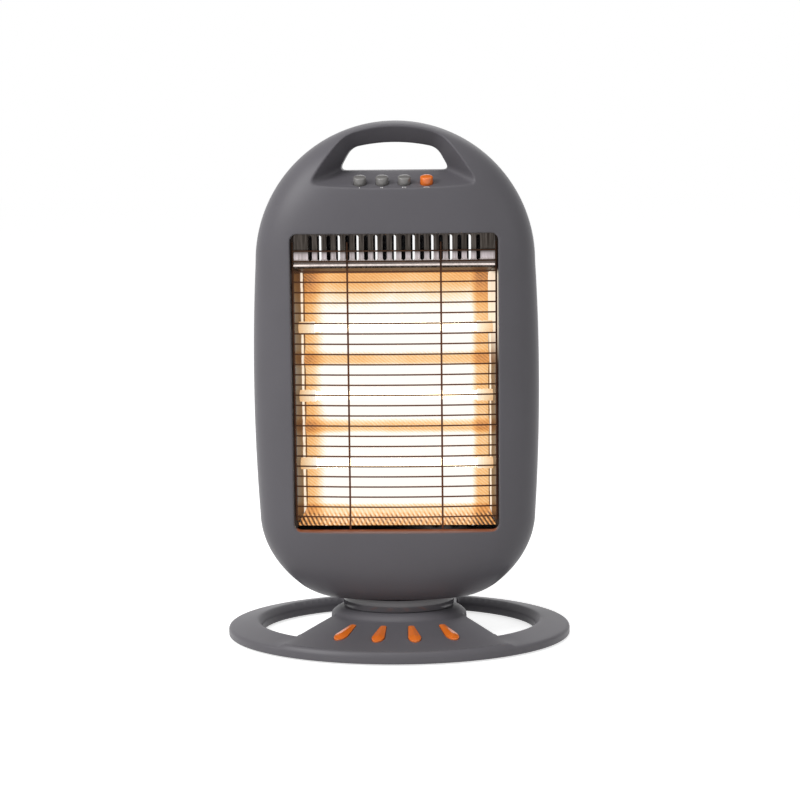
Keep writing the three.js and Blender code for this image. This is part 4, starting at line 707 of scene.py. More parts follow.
def side_wall_sheet(look):
    """Bright rolled aluminium with painted reflections, as emission: the dark front, then a lamp's streak, then
    the amber tray, and painted shade near the top.
    """
    tree, shader, place = finish("rolled_aluminium", "#1f1a17", Metallic=1.0, Roughness=0.3)
    lines = add(tree, "ShaderNodeMapping", {"Vector": place, "Scale": (1, 24, 1)})
    grain = add(tree, "ShaderNodeTexNoise", {"Vector": lines, "Scale": per(20), "Detail": 3.0})
    vary_roughness(tree, shader, grain, 0.2, 0.4)
    part = add(tree, "ShaderNodeSeparateXYZ", {0: place})
    depth = add(tree, "ShaderNodeMapRange", {
        "Value": part.outputs["Y"], "From Min": -42 * MM, "From Max": 17 * MM})
    ripple = add(tree, "ShaderNodeTexNoise", {"Vector": place, "Scale": per(6), "Detail": 2.0})
    wobble = add(tree, "ShaderNodeMath", {0: ripple, 1: 0.14, 2: depth}, operation="MULTIPLY_ADD")
    # Painted reflections by depth: the dark front, a lamp's white streak, then the amber tray.
    painted_reflection_streaks = add(tree, "ShaderNodeValToRGB", {0: wobble}, stops=[
        (0.0, "#4b443f"), (0.1, "#191412"), (0.62, "#120d0b"), (0.68, "#8a7462"), (0.74, "#fff6e8"),
        (0.9, "#f5e2c6"), (0.94, "#38251a"), (1.0, "#6d472c")])
    # A painted reflection of the lamps, near white, high on the right wall.
    painted_lamp_reflection = zone(tree, place, ("Z", 300, 352, 0, 0.9), ("X", 0, 60, 0, 1))
    lit = add(tree, "ShaderNodeMix", {0: painted_lamp_reflection, 6: painted_reflection_streaks.outputs[0], 7: linear("#fff0da")},
              data_type="RGBA")
    # Painted shade: upwards from about 402 mm, towards the vent plate, the wall is painted nearly black.
    below_vents = zone(tree, place, ("Z", 402, 410, 1, 0))
    shown = add(tree, "ShaderNodeMix", {0: below_vents, 6: linear("#14100e"), 7: lit.outputs[2]},
                data_type="RGBA")
    set_inputs(tree, shader, {"Emission Color": shown.outputs[2]})
    lit_inside(tree, shader, place, look.glow * 0.9)


def vent_sheet(look):
    """The vent plate is rolled aluminium too, with painted light and shade: dark above, brighter below, with a
    painted highlight along its lip.
    """
    tree, shader, place = finish("vent_aluminium", "#8d857c", Metallic=1.0, Roughness=0.3)
    part = add(tree, "ShaderNodeSeparateXYZ", {0: place})
    level = add(tree, "ShaderNodeMapRange", {
        "Value": part.outputs["Z"], "From Min": 410 * MM, "From Max": 450 * MM})
    # Painted light and shade in the base colour: dark and bright bands by height.
    tone = add(tree, "ShaderNodeValToRGB", {0: level}, stops=[
        (0.0, "#17110d"), (0.085, "#1c1511"), (0.1, "#e8dcd8"), (0.14, "#d9cdca"), (0.16, "#544b46"),
        (0.205, "#544b46"), (0.235, "#e2d6d4"), (0.3, "#cfc5c8"), (0.4, "#b3a9ab"), (0.47, "#4a4540"),
        (0.6, "#38332f"), (1.0, "#2f2a27")])
    brushed = add(tree, "ShaderNodeMapping", {"Vector": place, "Scale": (6, 1, 0.3)})
    grain = add(tree, "ShaderNodeTexNoise", {"Vector": brushed, "Scale": per(9), "Detail": 3.0})
    shade = add(tree, "ShaderNodeMapRange", {"Value": grain, "From Min": 0.35, "From Max": 0.65, "To Max": 0.5})
    mixed = add(tree, "ShaderNodeMix", {0: shade, 6: tone.outputs[0], 7: linear("#6e6762")}, data_type="RGBA")
    vary_roughness(tree, shader, grain, 0.22, 0.4)
    # Painted highlight: a bright line of emission along the lip, in front of the plate.
    nose = add(tree, "ShaderNodeValToRGB", {0: level}, stops=[
        (0.0, "#0d0907"), (0.06, "#120d0a"), (0.084, "#1e1712"), (0.095, "#d8ccc6"), (0.12, "#f0e6e1"),
        (0.14, "#8a807b"), (0.16, "#000000")])
    front = zone(tree, place, ("Y", -45.0, -42.6, 1, 0))
    lip = add(tree, "ShaderNodeMix", {0: front, 6: linear("#000000"), 7: nose.outputs[0]}, data_type="RGBA")
    set_inputs(tree, shader, {
        "Base Color": mixed.outputs[2], "Emission Color": lip.outputs[2], "Emission Strength": look.glow * 0.9})


def steels_and_wire(look):
    """The metals of the sheets, screws and wires."""
    # Zinc-coated sheet steel: faint spangle.
    tree, shader, place = finish("galvanised_steel", "#8f8e8b", Metallic=1.0, Roughness=0.4)
    spangle = add(tree, "ShaderNodeTexVoronoi", {"Vector": place, "Scale": per(7)})
    vary_roughness(tree, shader, spangle.outputs["Distance"], 0.32, 0.5)
    # Zinc-plated screws: small bright heads with fine turning marks.
    tree, shader, place = finish("zinc_plated_steel", "#a9a7a3", Metallic=1.0, Roughness=0.3)
    marks = add(tree, "ShaderNodeTexNoise", {"Vector": place, "Scale": per(0.8), "Detail": 2.0})
    vary_roughness(tree, shader, marks, 0.22, 0.42)
    # Nickel-plated wire, dark brown. Painted light: the copper light of the chamber behind it is painted as
    # emission, weaker high up and at the guard's ends.
    tree, shader, place = finish("brown_nickel_painted_glow", look.wire, Metallic=1.0, Roughness=0.32)
    tint = vary_colour(tree, shader, place, look.wire, "#3d2b20", 30)
    vary_roughness(tree, shader, tint, 0.26, 0.42)
    copper = zone(tree, place, ("Z", 402, 416, 0.34, 0.03), ("X", 90, 106, 1, 0.3), ("X", -106, -90, 0.3, 1))
    set_inputs(tree, shader, {"Emission Color": linear("#7a4630"), "Emission Strength": copper})


def lamp_finishes():
    """The quartz tubes, their filaments and their ceramic ends."""
    # Fused quartz, clear, with faint drawing lines.
    tree, shader, place = finish("fused_quartz", "#fff8ec", Roughness=0.03, IOR=1.46, Transmission_Weight=0.85)
    set_inputs(tree, shader, {"Emission Color": linear("#fff1d8"), "Emission Strength": 0.6})
    drawn = add(tree, "ShaderNodeTexNoise", {"Vector": place, "Scale": per(9), "Detail": 2.0})
    vary_roughness(tree, shader, drawn, 0.02, 0.1)
    # Tungsten at working heat: nearly white.
    tree, shader, place = finish("hot_tungsten", "#ffd9a0", Metallic=1.0, Roughness=0.5)
    uneven = add(tree, "ShaderNodeTexNoise", {"Vector": place, "Scale": per(25), "Detail": 1.0})
    warmth = add(tree, "ShaderNodeMix", {0: uneven, 6: linear("#fff0d0"), 7: linear("#ffe2ae")},
                 data_type="RGBA")
    set_inputs(tree, shader, {"Emission Color": warmth.outputs[2], "Emission Strength": 3.0})
    # Steatite ceramic: off-white and matte, with tiny pores.
    tree, shader, place = finish("steatite_ceramic", "#8d8578", IOR=1.6, Roughness=0.5)
    pores = vary_colour(tree, shader, place, "#857d70", "#9a9285", 4)
    raise_by(tree, shader, pores, 0.2, 0.05)
    # Painted light: the chamber's light on the ends is painted as emission, near white by the hot filaments and
    # amber towards their outer ends.
    part = add(tree, "ShaderNodeSeparateXYZ", {0: place})
    out = add(tree, "ShaderNodeMath", {0: part.outputs["X"]}, operation="ABSOLUTE")
    reach = add(tree, "ShaderNodeMapRange", {"Value": out, "From Min": 88 * MM, "From Max": 112 * MM})
    warmth = add(tree, "ShaderNodeValToRGB", {0: reach}, stops=[
        (0.0, "#fffaf0"), (0.3, "#fbe0b8"), (0.7, "#e9b67c"), (1.0, "#c99158")])
    set_inputs(tree, shader, {"Emission Color": warmth, "Emission Strength": 0.85})


SLOT_FINISHES = {
    "grey_plastic": "textured_abs", "button_grey": "button_abs", "accent_orange": "orange_abs",
    "bright_aluminium": "rolled_aluminium", "sheet_steel": "galvanised_steel",
    "screw_steel": "zinc_plated_steel", "guard_wire": "brown_nickel_painted_glow", "quartz": "fused_quartz",
    "filament_glow": "hot_tungsten", "ceramic": "steatite_ceramic", "rubber": "vulcanised_rubber",
    "black_plastic": "black_polyamide", "nylon": "natural_nylon",
}


# ---- Body surface ----

def share_of(points):
    """How far each point of the front view lies from the middle line towards the outline."""
    x, z = points[:, 0], points[:, 1]
    down = (z - BOTTOM_CENTRE) / (TOP_CENTRE - BOTTOM_CENTRE)
    side = BODY_RADIUS + SIDE_BOW * (1 - (2 * np.clip(down, 0, 1) - 1) ** 2)
    upper = np.hypot(x, z - TOP_CENTRE) / BODY_RADIUS
    lower = np.hypot(x / BODY_RADIUS, (z - BOTTOM_CENTRE) / BOTTOM_DROP)
    return np.where(z > TOP_CENTRE, upper, np.where(z < BOTTOM_CENTRE, lower, np.abs(x) / side))


def crown(points, depth):
    """Depth of the crowned face over each point of the front view."""
    return depth * np.clip(1 - share_of(points) ** CROWN_POWER, 0, 1) ** (1 / CROWN_POWER)


class Face:
    """One crowned half of the body, and a flat map of it that keeps lengths towards the rim."""

    def __init__(self, side, depth):
        self.side, self.depth = side, depth
        steps = 1 - (1 - np.linspace(0, 1, 3000)) ** 3
        drop = depth * (1 - steps ** CROWN_POWER) ** (1 / CROWN_POWER)
        run = np.hypot(np.diff(steps) * BODY_RADIUS, np.diff(drop))
        self.share = steps
        self.length = np.concatenate([[0], np.cumsum(run)])
        self.length /= self.length[-1]

    def scaled(self, points, source, target):
        share = share_of(points)
        factor = np.interp(share, source, target) / np.maximum(share, 1e-9)
        middle = np.clip(points[:, 1], BOTTOM_CENTRE, TOP_CENTRE)
        return np.stack([points[:, 0] * factor, middle + (points[:, 1] - middle) * factor], axis=1)

    def flat(self, points):
        return self.scaled(points, self.share, self.length)

    def lift(self, flat):
        return self.raised(self.scaled(flat, self.length, self.share))

    def raised(self, points):
        """Points of the front view on the crowned face."""
        return at_depth(points, self.side * np.maximum(crown(points, self.depth), EDGE_DEPTH))

    def grown_by(self, loop, radius):
        """The loop moved outwards by a distance along the crowned face."""
        normal = outward(loop)
        step = np.full(len(loop), radius)
        start = self.raised(loop)
        for _ in range(6):
            away = np.linalg.norm(self.raised(loop + normal * step[:, None]) - start, axis=1)
            step *= radius / np.maximum(away, 1e-6)
        return loop + normal * step[:, None]


def half_width(level):
    """Half the body's width at a level below its sides."""
    return BODY_RADIUS * math.sqrt(1 - ((BOTTOM_CENTRE - level) / BOTTOM_DROP) ** 2)


def body_outline(low):
    """The body's outline in the front view, from its right foot over the top to its left foot."""
    start = -math.asin((BOTTOM_CENTRE - low) / BOTTOM_DROP)
    lower = [(BODY_RADIUS * math.cos(a), BOTTOM_CENTRE + BOTTOM_DROP * math.sin(a))
             for a in np.linspace(start, 0, 46)]
    sides = []
    for t in np.linspace(0, 1, 72)[1:-1]:
        bow = SIDE_BOW * (1 - (2 * t - 1) ** 2)
        sides.append((BODY_RADIUS + bow, BOTTOM_CENTRE + t * (TOP_CENTRE - BOTTOM_CENTRE)))
    arc = [(BODY_RADIUS * math.cos(a), TOP_CENTRE + BODY_RADIUS * math.sin(a))
           for a in np.linspace(0, math.pi / 2, 80)]
    right = np.array(lower + sides + arc)
    return np.concatenate([right, right[-2::-1] * np.array([-1, 1])])


def handle_outline(distance):
    """The handle opening's outline at a distance from the middle plane, and how many points its bottom has."""
    t = max(0.0, (distance - HOLE_DEPTH) / (SCOOP_DEPTH - HOLE_DEPTH))
    size = {key: HOLE[key] + (SCOOP[key] - HOLE[key]) * t for key in HOLE}
    bottom, lower, upper, shoulder, crown_top, corner, blend = size.values()
    rise, crown_rise = shoulder - bottom, crown_top - shoulder

    def side(z):
        return lower + (upper - lower) * (z - bottom) / rise

    def arch(x):
        return shoulder + crown_rise * (1 - (x / upper) ** 2)

    flat = [np.array([x, bottom]) for x in np.linspace(corner - lower, lower - corner, 46)]
    first = bend(flat[-1], np.array([lower, bottom]), np.array([side(bottom + corner), bottom + corner]), 8)
    side_end = np.array([side(shoulder - blend), shoulder - blend])
    wall = between(first[-1], side_end, 9)
    arch_start = np.array([upper - blend, arch(upper - blend)])
    second = bend(side_end, np.array([upper, shoulder]), arch_start, 8)
    top = [np.array([x, arch(x)]) for x in np.linspace(upper - blend, 0, 16)]
    right = first[1:] + wall[1:] + second[1:] + top[1:]
    left = [p * np.array([-1, 1]) for p in right[-2::-1]]
    return np.array(flat + right + left[:-1]), len(flat)


def shelf_height(distance):
    return HOLE["bottom"] - (distance - HOLE_DEPTH) * math.tan(SHELF_TILT)


def on_shelf(points):
    """Points of the button shelf, each given by its X and its distance from the middle plane."""
    return np.stack([points[:, 0], -points[:, 1], shelf_height(points[:, 1])], axis=1)


def shell_foot(bm, face):
    """The rounded foot between the crowned face and the floor. Returns its upper edge and the floor's rim."""
    low, half_floor = FLOOR_LEVEL + FOOT_ROUND, half_width(FLOOR_LEVEL)
    shares = np.linspace(-1, 1, 61)
    upper = np.stack([shares * half_width(low), np.full(len(shares), low)], axis=1)
    edge = np.stack([shares * half_floor, np.full(len(shares), FLOOR_LEVEL)], axis=1)
    over = face.raised(edge)
    rim = over * np.array([1 - FOOT_ROUND / half_floor, 1, 1])
    rim[:, 1] = face.side * np.maximum(np.abs(over[:, 1]) - FOOT_ROUND * 0.7, SEAM)
    strip(bm, bend(face.raised(upper), over, rim, 6), closed=False)
    return upper, rim


def shell_floor(bm, side, rim):
    """The floor, with a notch for the drive and holes for the collar's screws."""
    half, end = NOTCH_HALF, NOTCH_END[side]
    line = [(rim[-1, 0], SEAM), (half, SEAM), (half, end), (-half, end), (-half, SEAM), (rim[0, 0], SEAM)]
    rim = np.stack([rim[:, 0], np.abs(rim[:, 1])], axis=1)
    outer = np.concatenate([rim, spaced(line, 6)[1:-1]])
    holes = [circle(spot, 2, 12) for spot in COLLAR_SCREWS]
    fill(bm, [outer, *holes], grid((-90, 0), (90, 50), 9), 4,
         lambda p: at_height(p * np.array([1, side]), FLOOR_LEVEL))


def shell_seam(bm, face, outline):
    """The edge that rolls in to a fine line between the halves."""
    middle = np.clip(outline[:, 1], BOTTOM_CENTRE, TOP_CENTRE)
    pull = unit(np.stack([outline[:, 0], outline[:, 1] - middle], axis=1))
    rows = [at_depth(outline - pull * inset, face.side * y) for inset, y in SEAM_ROLL + SEAM_END[face.side]]
    strip(bm, [face.raised(outline), *rows], closed=False)


def scoop_mouth(face):
    """Where the scoop's walls meet the crowned face, and how far that is from the middle plane."""
    hole, wide = handle_outline(HOLE_DEPTH)[0], handle_outline(SCOOP_DEPTH)[0]
    near, far = np.full(len(hole), HOLE_DEPTH), np.full(len(hole), SCOOP_DEPTH)

    def at(distance):
        return hole + (wide - hole) * ((distance - HOLE_DEPTH) / (SCOOP_DEPTH - HOLE_DEPTH))[:, None]
    for _ in range(40):
        mid = (near + far) / 2
        within = crown(at(mid), face.depth) > mid
        near, far = np.where(within, mid, near), np.where(within, far, mid)
    return at(near), near


def shell_handle(bm, face, rounding):
    """The handle's scoop and tunnel, in front with the button shelf. Returns the loop on the crowned face."""
    hole, bottom_count = handle_outline(HOLE_DEPTH)
    mouth, distance = scoop_mouth(face)
    mouth_points = at_depth(mouth, face.side * distance)
    hole_points = at_depth(hole, face.side * HOLE_DEPTH)
    inwards = unit(hole_points - mouth_points)
    lip = face.grown_by(mouth, rounding)
    lip_end = mouth_points + inwards * rounding
    strip(bm, bend(face.raised(lip), mouth_points, lip_end, 5))
    neck = hole_points - inwards * rounding
    tunnel = hole_points * np.array([1, (HOLE_DEPTH - rounding) / HOLE_DEPTH, 1])
    strip(bm, bend(neck, hole_points, tunnel, 5))
    seam = ((0, 6), *SEAM_ROLL, *SEAM_END[face.side])
    strip(bm, [tunnel, *(at_depth(hole + outward(hole) * grow, face.side * y) for grow, y in seam)])
    walls = between(lip_end, neck, 10)
    if face.side > 0:
        strip(bm, walls)
    else:
        order = [*range(bottom_count - 1, len(hole)), 0]
        strip(bm, [row[order] for row in walls], closed=False)
        button_shelf(bm, walls, bottom_count)
    return lip


def button_shelf(bm, walls, count):
    """The flat shelf in the front scoop, with a well for each button."""
    # Its straight ends bow out by less than the welding distance, because points in line make slivers.
    bows = [np.array([0.015 * 4 * t * (1 - t), 0, 0]) for t in np.linspace(0, 1, len(walls))]
    inner = list(zip(walls, bows))[1:-1]
    loop = [*walls[0][:count], *(row[count - 1] + bow for row, bow in inner)]
    loop += [*walls[-1][count - 1::-1], *(row[0] - bow for row, bow in reversed(inner))]
    loop = np.array([(p[0], abs(p[1])) for p in loop])
    wells = []
    for x in BUTTON_X:
        rings = [oval(radius, radius * math.cos(SHELF_TILT), np.linspace(0, 2 * math.pi, 32, endpoint=False))
                 + np.array([x, BUTTON_DISTANCE]) for radius, _ in BUTTON_WELL]
        strip(bm, [on_shelf(ring) + SHELF_DOWN * sunk for ring, (_, sunk) in zip(rings, BUTTON_WELL)])
        wells.append(rings[0])
    fill(bm, [loop, *wells], grid((-80, 14), (80, 62), 3.5), 1.8, on_shelf)


def rolled_in(bm, face, loop, grown_loop, radius, steps):
    """Rolls the crowned face in at an opening, and returns the end of the roll."""
    over = face.raised(loop)
    end = over - np.array([0, face.side * radius, 0])
    strip(bm, bend(face.raised(grown_loop), over, end, steps))
    return end


def window_opening(bm, face, rounding):
    """The window with its walls. Returns its loop on the crowned face."""
    plain, grown_loop = whole_window(0), whole_window(rounding)
    end = rolled_in(bm, face, plain, grown_loop, rounding, 5)
    strip(bm, between(end, at_depth(plain, WINDOW["back"]), 3))
    return [grown_loop]


def rear_openings(bm, face):
    """The vents, the gland's hole and the sunk seats of the screws. Returns their loops on the crowned face."""
    holes = []

    def opening(loop):
        holes.append(face.grown_by(loop, VENT_RIM))
        return rolled_in(bm, face, loop, holes[-1], VENT_RIM, 3)
    for x in REAR_VENTS:
        opening(slot_loop(x, *UPPER_VENTS, VENT_WIDTH))
    for x in REAR_VENTS:
        if abs(x) > LOWER_VENTS_START:
            opening(slot_loop(x, *LOWER_VENTS, VENT_WIDTH))
    opening(circle((0, GLAND_LEVEL), GLAND_HOLE, 32))
    for spot in SHELL_SCREWS:
        seat = circle(spot, SCREW_SEAT)
        strip(bm, [opening(seat), at_depth(seat, SEAT_LEVEL), at_depth(circle(spot, SCREW_HOLE), SEAT_LEVEL)])
    return holes


def shell_half(side, depth, rounding):
    """The skin of one half of the body: its crowned face, foot, floor, seam, handle and openings."""
    bm, face = bmesh.new(), Face(side, depth)
    upper, rim = shell_foot(bm, face)
    shell_floor(bm, side, rim)
    outline = body_outline(FLOOR_LEVEL + FOOT_ROUND)
    shell_seam(bm, face, outline)
    holes = [shell_handle(bm, face, rounding)]
    holes += window_opening(bm, face, rounding) if side < 0 else rear_openings(bm, face)
    loops = [face.flat(loop) for loop in (np.concatenate([outline, upper[1:-1]]), *holes)]
    fill(bm, loops, grid((-160, 40), (160, 570), 4), 2.4, face.lift)
    return bm


# ---- Base surface ----

RING_PROFILE = np.array([
    (0, 10.4), (3, 11.4), (8, 12.48), (20, 15.06), (26, 16.3), (28.4, 16.75), (30.4, 16.98), (31.6, 16.95),
    (32.8, 16.5), (34, 15.3), (38, 10.5)])
INSERT_SPOTS = ((-55.6, 0.42, -0.33), (-18.0, 0.545, -0.13), (18.0, 0.545, 0.13), (55.6, 0.42, 0.33))
INSERT = dict(half=25.0, narrow=3.4, broad=6.9, taper=14.0)


def solve(function, low, high, points):
    """Where a rising function of a number is zero, for each point."""
    near, far = np.full(len(points), float(low)), np.full(len(points), float(high))
    for _ in range(40):
        mid = (near + far) / 2
        below = function(mid, points) < 0
        near, far = np.where(below, mid, near), np.where(below, far, mid)
    return (near + far) / 2


def inset_of(points):
    """How far each point lies inside the base's outer edge."""
    return solve(lambda i, p: np.hypot(p[:, 0] / (BASE[0] - i), p[:, 1] / (BASE[1] - i)) - 1, -2, 142, points)


def towards_crest(points):
    """How far each point lies on the way from the hub's edge, 0, to the ring's crest, 1."""
    def past(t, p):
        wide, deep = (hub + (crest - hub) * t for hub, crest in zip(HUB, CREST))
        return 1 - np.hypot(p[:, 0] / wide, p[:, 1] / deep)
    return solve(past, -0.55, 1.6, points)


def smooth_step(value):
    t = np.clip(value, 0, 1)
    return t * t * (3 - 2 * t)


def base_height(points):
    """Height of the base's upper face: the ring, the two fans that bridge it, and the hub."""
    ring = np.interp(inset_of(points), RING_PROFILE[:, 0], RING_PROFILE[:, 1])
    slope = towards_crest(points)
    fan = SHOULDER - (SHOULDER - CREST_TOP) * slope
    beyond = np.abs(points[:, 0]) - (FAN_WAIST + FAN_FLARE * np.maximum(-points[:, 1], 0))
    within = smooth_step(1 - beyond / FAN_EDGE)
    bridge = ring + within * np.maximum(fan - ring, 0)
    # The hub's shoulder rises to its flat top, which lies round the collar, from a soft ridge above the fans.
    inner = -slope * FAN_RUN
    rise = HUB_TOP - SHOULDER
    hub = SHOULDER + HUB_STEP + (rise - HUB_STEP) * (1 - (1 - np.clip(inner / (rise + 1), 0, 1)) ** 1.8)
    ridge = RIDGE * np.exp(-((inner + 0.4) / 1.2) ** 2) * within
    return np.where(inner > 0, hub, bridge + HUB_STEP * smooth_step(1 + inner / 1.6) * within) + ridge


def gap_loop():
    """The opening between the ring and the hub on the right, and 1 for each of its points on the hub."""
    def meet(size, flare):
        """Where a fan's edge meets an oval."""
        y = solve(lambda v, p: np.hypot((FAN_WAIST + flare * v) / size[0], v / size[1]) - 1, 0, 120,
                  np.zeros((1, 2)))[0]
        return FAN_WAIST + flare * y, y

    def angle(size, spot):
        return math.atan2(spot[1] / size[1], spot[0] / size[0])

    ring_spot, hub_spot = meet(RING_INNER, FAN_FLARE), meet(HUB, FAN_FLARE)
    back_spot, nape_spot = meet(RING_INNER, 0), meet(HUB, 0)
    # The ring's points lie closer together near both fans.
    first, last = -angle(RING_INNER, ring_spot), angle(RING_INNER, back_spot)
    turns = first + (last - first) * (1 - np.cos(np.linspace(0, math.pi, 70))) / 2
    ring = oval(*RING_INNER, turns)
    rear = between(np.array(back_spot), np.array(nape_spot), 26)[1:-1]
    hub = oval(*HUB, np.linspace(angle(HUB, nape_spot), -angle(HUB, hub_spot), 18))
    front = between(np.array([hub_spot[0], -hub_spot[1]]), np.array([ring_spot[0], -ring_spot[1]]), 26)[1:-1]
    on_hub = [0.0] * (len(ring) + len(rear)) + [1.0] * len(hub) + [0.0] * len(front)
    return np.array([*ring, *rear, *hub, *front]), np.array(on_hub)


def insert_matrix(x, reach, turn):
    """Where an insert lies on the front fan."""
    y = -(HUB[1] + (CREST[1] - HUB[1]) * reach)
    share = towards_crest(np.array([[x, y]]))[0]
    tilt = math.atan((SHOULDER - CREST_TOP) / (CREST[1] - HUB[1]))
    place = Matrix.Translation((x, y, SHOULDER - (SHOULDER - CREST_TOP) * share))
    return place @ Matrix.Rotation(tilt, 4, "X") @ Matrix.Rotation(turn, 4, "Z")


def teardrop(grow, steps=12):
    """An insert's outline, narrow towards the hub."""
    points = []
    half, narrow, broad, taper = (INSERT[key] for key in ("half", "narrow", "broad", "taper"))
    for y, width, reach, start in ((half - narrow, narrow, narrow, 0.0), (taper - half, broad, taper, math.pi)):
        for i in range(steps + 1):
            angle = start + math.pi * i / steps
            points.append(((width + grow) * math.cos(angle), y + (reach + grow) * math.sin(angle)))
    return spaced(points, 3.5, closed=True)


def moved(matrix, points):
    return np.array([tuple(matrix @ Vector(p)) for p in points])


def insert_shape(spot):
    """A faceted insert: flat flanks that rise to a ridge, and the ridge to its apex."""
    matrix, rim = insert_matrix(*spot), teardrop(0, 16)
    half, apex = INSERT["half"], INSERT["taper"] - INSERT["half"] - 1

    def row(share, height):
        """The outline drawn in towards the ridge line, at a height that grows towards the apex."""
        spine = np.column_stack([np.zeros(len(rim)), np.clip(rim[:, 1], apex, half - 4)])
        points = rim + (spine - rim) * share
        along = np.clip((half - points[:, 1]) / (half - apex), 0, 1)
        return moved(matrix, at_height(points, height * (0.35 + 0.65 * along)))
    bm = bmesh.new()
    rise = ((0, 0.9), (0.05, 1.35), (0.5, 2.3), (0.93, 3.1), (1, 3.15))
    made = strip(bm, [moved(matrix, at_height(rim, -1.2)), *(row(share, height) for share, height in rise)])
    bm.faces.new(made[0])
    return bm


def on_base(points):
    """Points of the top view on the base's upper face."""
    return at_height(points, base_height(points))


def base_gaps(bm):
    """The walls of the two openings between the ring and the hub. Returns their loops on the upper face."""
    loops = []
    right, on_hub = gap_loop()
    for mirror in (1, -1):
        loop = right * np.array([mirror, 1])
        back = loop + outward(loop) * 1.6
        edge = on_base(loop)
        under = edge - np.array([0, 0, 1.6])
        strip(bm, bend(on_base(back), edge, under, 4))
        # The hub's wall spreads a little towards its foot.
        foot = at_height(loop + unit(loop) * on_hub[:, None] * 2, SKIRT)
        strip(bm, between(under, foot, 3))
        loops.append(back)
    return loops


def insert_pockets(bm):
    """A shallow pocket round each insert. Returns their loops on the upper face."""
    loops = []
    for spot in INSERT_SPOTS:
        matrix = insert_matrix(*spot)
        rim, far = (moved(matrix, at_height(teardrop(grow), 0))[:, :2] for grow in (0.3, 0.9))
        floor = moved(matrix, at_height(teardrop(0.3), -1.5))
        start, edge = on_base(far), on_base(rim)
        made = strip(bm, [*bend(start, edge, edge + (floor - edge) * 0.4, 3), floor])
        bm.faces.new(made[-1])
        loops.append(far)
    return loops


def base_skin():
    """The base's upper skin with its walls, openings and insert pockets."""
    bm = bmesh.new()
    angles = np.linspace(0, 2 * math.pi, 220, endpoint=False)

    def ring_at(inset, height):
        return at_height(oval(BASE[0] - inset, BASE[1] - inset, angles), height)
    outer = on_base(oval(BASE[0] - 3.2, BASE[1] - 3.2, angles))
    strip(bm, bend(outer, ring_at(0.1, 10.6), ring_at(0, 7.6), 5))
    strip(bm, [ring_at(0, 7.6), ring_at(0.05, 4.5), ring_at(0.1, 2.4), ring_at(0.5, SKIRT)])
    loops = [outer[:, :2], *base_gaps(bm), *insert_pockets(bm)]
    # Holes in the hub's roof for the bush and the crank pin, under the collar.
    half, near, far = (CRANK_SLOT[key] for key in ("half", "near", "far"))
    loops.append(circle((0, 0), BUSH_HOLE))
    loops.append(spaced([(-half, far), (half, far), (half, near), (-half, near)], 6, closed=True))
    # Points follow the ring and the hub's edge closely, and a plain grid fills the rest.
    rows = [oval(BASE[0] - i, BASE[1] - i, angles[::2])
            for i in (*range(5, 27, 3), 28.4, 30.4, 31.6, 32.8, 34, 35.4, 36.7)]
    ovals = [oval(HUB[0] - i, HUB[1] - i, angles[::3]) for i in (-9, -6, -3.5, -1.5, 0, 1, 2, 3, 4, 5.5, 8)]
    field = grid((-150, -110), (150, 110), 4.5)

    def within_hub(grow):
        return np.hypot(field[:, 0] / (HUB[0] + grow), field[:, 1] / (HUB[1] + grow)) < 1
    field = field[(inset_of(field) > 38.5) & (~within_hub(10) | within_hub(-9))]
    fill(bm, loops, np.concatenate([*rows, *ovals, field]), 1.1, on_base)
    return bm


# ---- Settings ----

class HeaterSizes(bpy.types.PropertyGroup):
    wall: bpy.props.FloatProperty(
        name="Shell wall", description="Thickness of the moulded walls",
        default=0.0018, min=0.0005, max=0.004, unit="LENGTH")
    edge: bpy.props.FloatProperty(
        name="Edge rounding", description="Rounding of the window's and the handle's edges",
        default=0.0022, min=0.0005, max=0.004, unit="LENGTH")
    sheet: bpy.props.FloatProperty(
        name="Sheet", description="Thickness of the aluminium sheet",
        default=0.0008, min=0.0003, max=0.0015, unit="LENGTH")
    wires: bpy.props.IntProperty(
        name="Guard wires", description="Number of wires across the window", default=27, min=5, max=60)
    turns: bpy.props.IntProperty(
        name="Filament turns", description="Turns of each coiled filament", default=70, min=10, max=200)


class HeaterLook(bpy.types.PropertyGroup):
    shell: bpy.props.StringProperty(
        name="Shell colour", description="sRGB hex colour of the moulded body", default="#5b595d")
    button: bpy.props.StringProperty(
        name="Button colour", description="sRGB hex colour of the heat buttons", default="#757371")
    accent: bpy.props.StringProperty(
        name="Accent colour", description="sRGB hex colour of the orange pieces", default="#e8701f")
    wire: bpy.props.StringProperty(
        name="Wire colour", description="sRGB hex colour of the guard's wires", default="#2e211a")
    glow: bpy.props.FloatProperty(
        name="Glow", description="Strength of the reflector's lit look", default=1.0, min=0, max=5)
    throw: bpy.props.FloatProperty(
        name="Sill light", description="Strength of the lamps' light on the window's sill",
        default=0.3, min=0, max=2)
    key: bpy.props.FloatProperty(
        name="Key light", description="Power of the large soft light", default=42, min=0, max=500, unit="POWER")


# ---- Operators ----

class HEATER_OT_finishes(bpy.types.Operator):
    """Makes the materials and gives each CAD node the one of its slot"""
    bl_idname = "heater.finishes"
    bl_label = "Finishes"

    def execute(self, context):
        look = context.scene.heater_look
        for make in (body_plastics, small_plastics, reflector_sheet, side_wall_sheet, vent_sheet,
                     steels_and_wire):
            make(look)
        lamp_finishes()
        for row in frame["record"]["subparts"]:
            obj = frame["nodes"].get(row["node"])
            if obj is None:
                raise RuntimeError(f"no node {row['node']} in the frame")
            obj.data.materials.clear()
            obj.data.materials.append(FINISHES[SLOT_FINISHES[row["material_slot"]]])
        return {"FINISHED"}


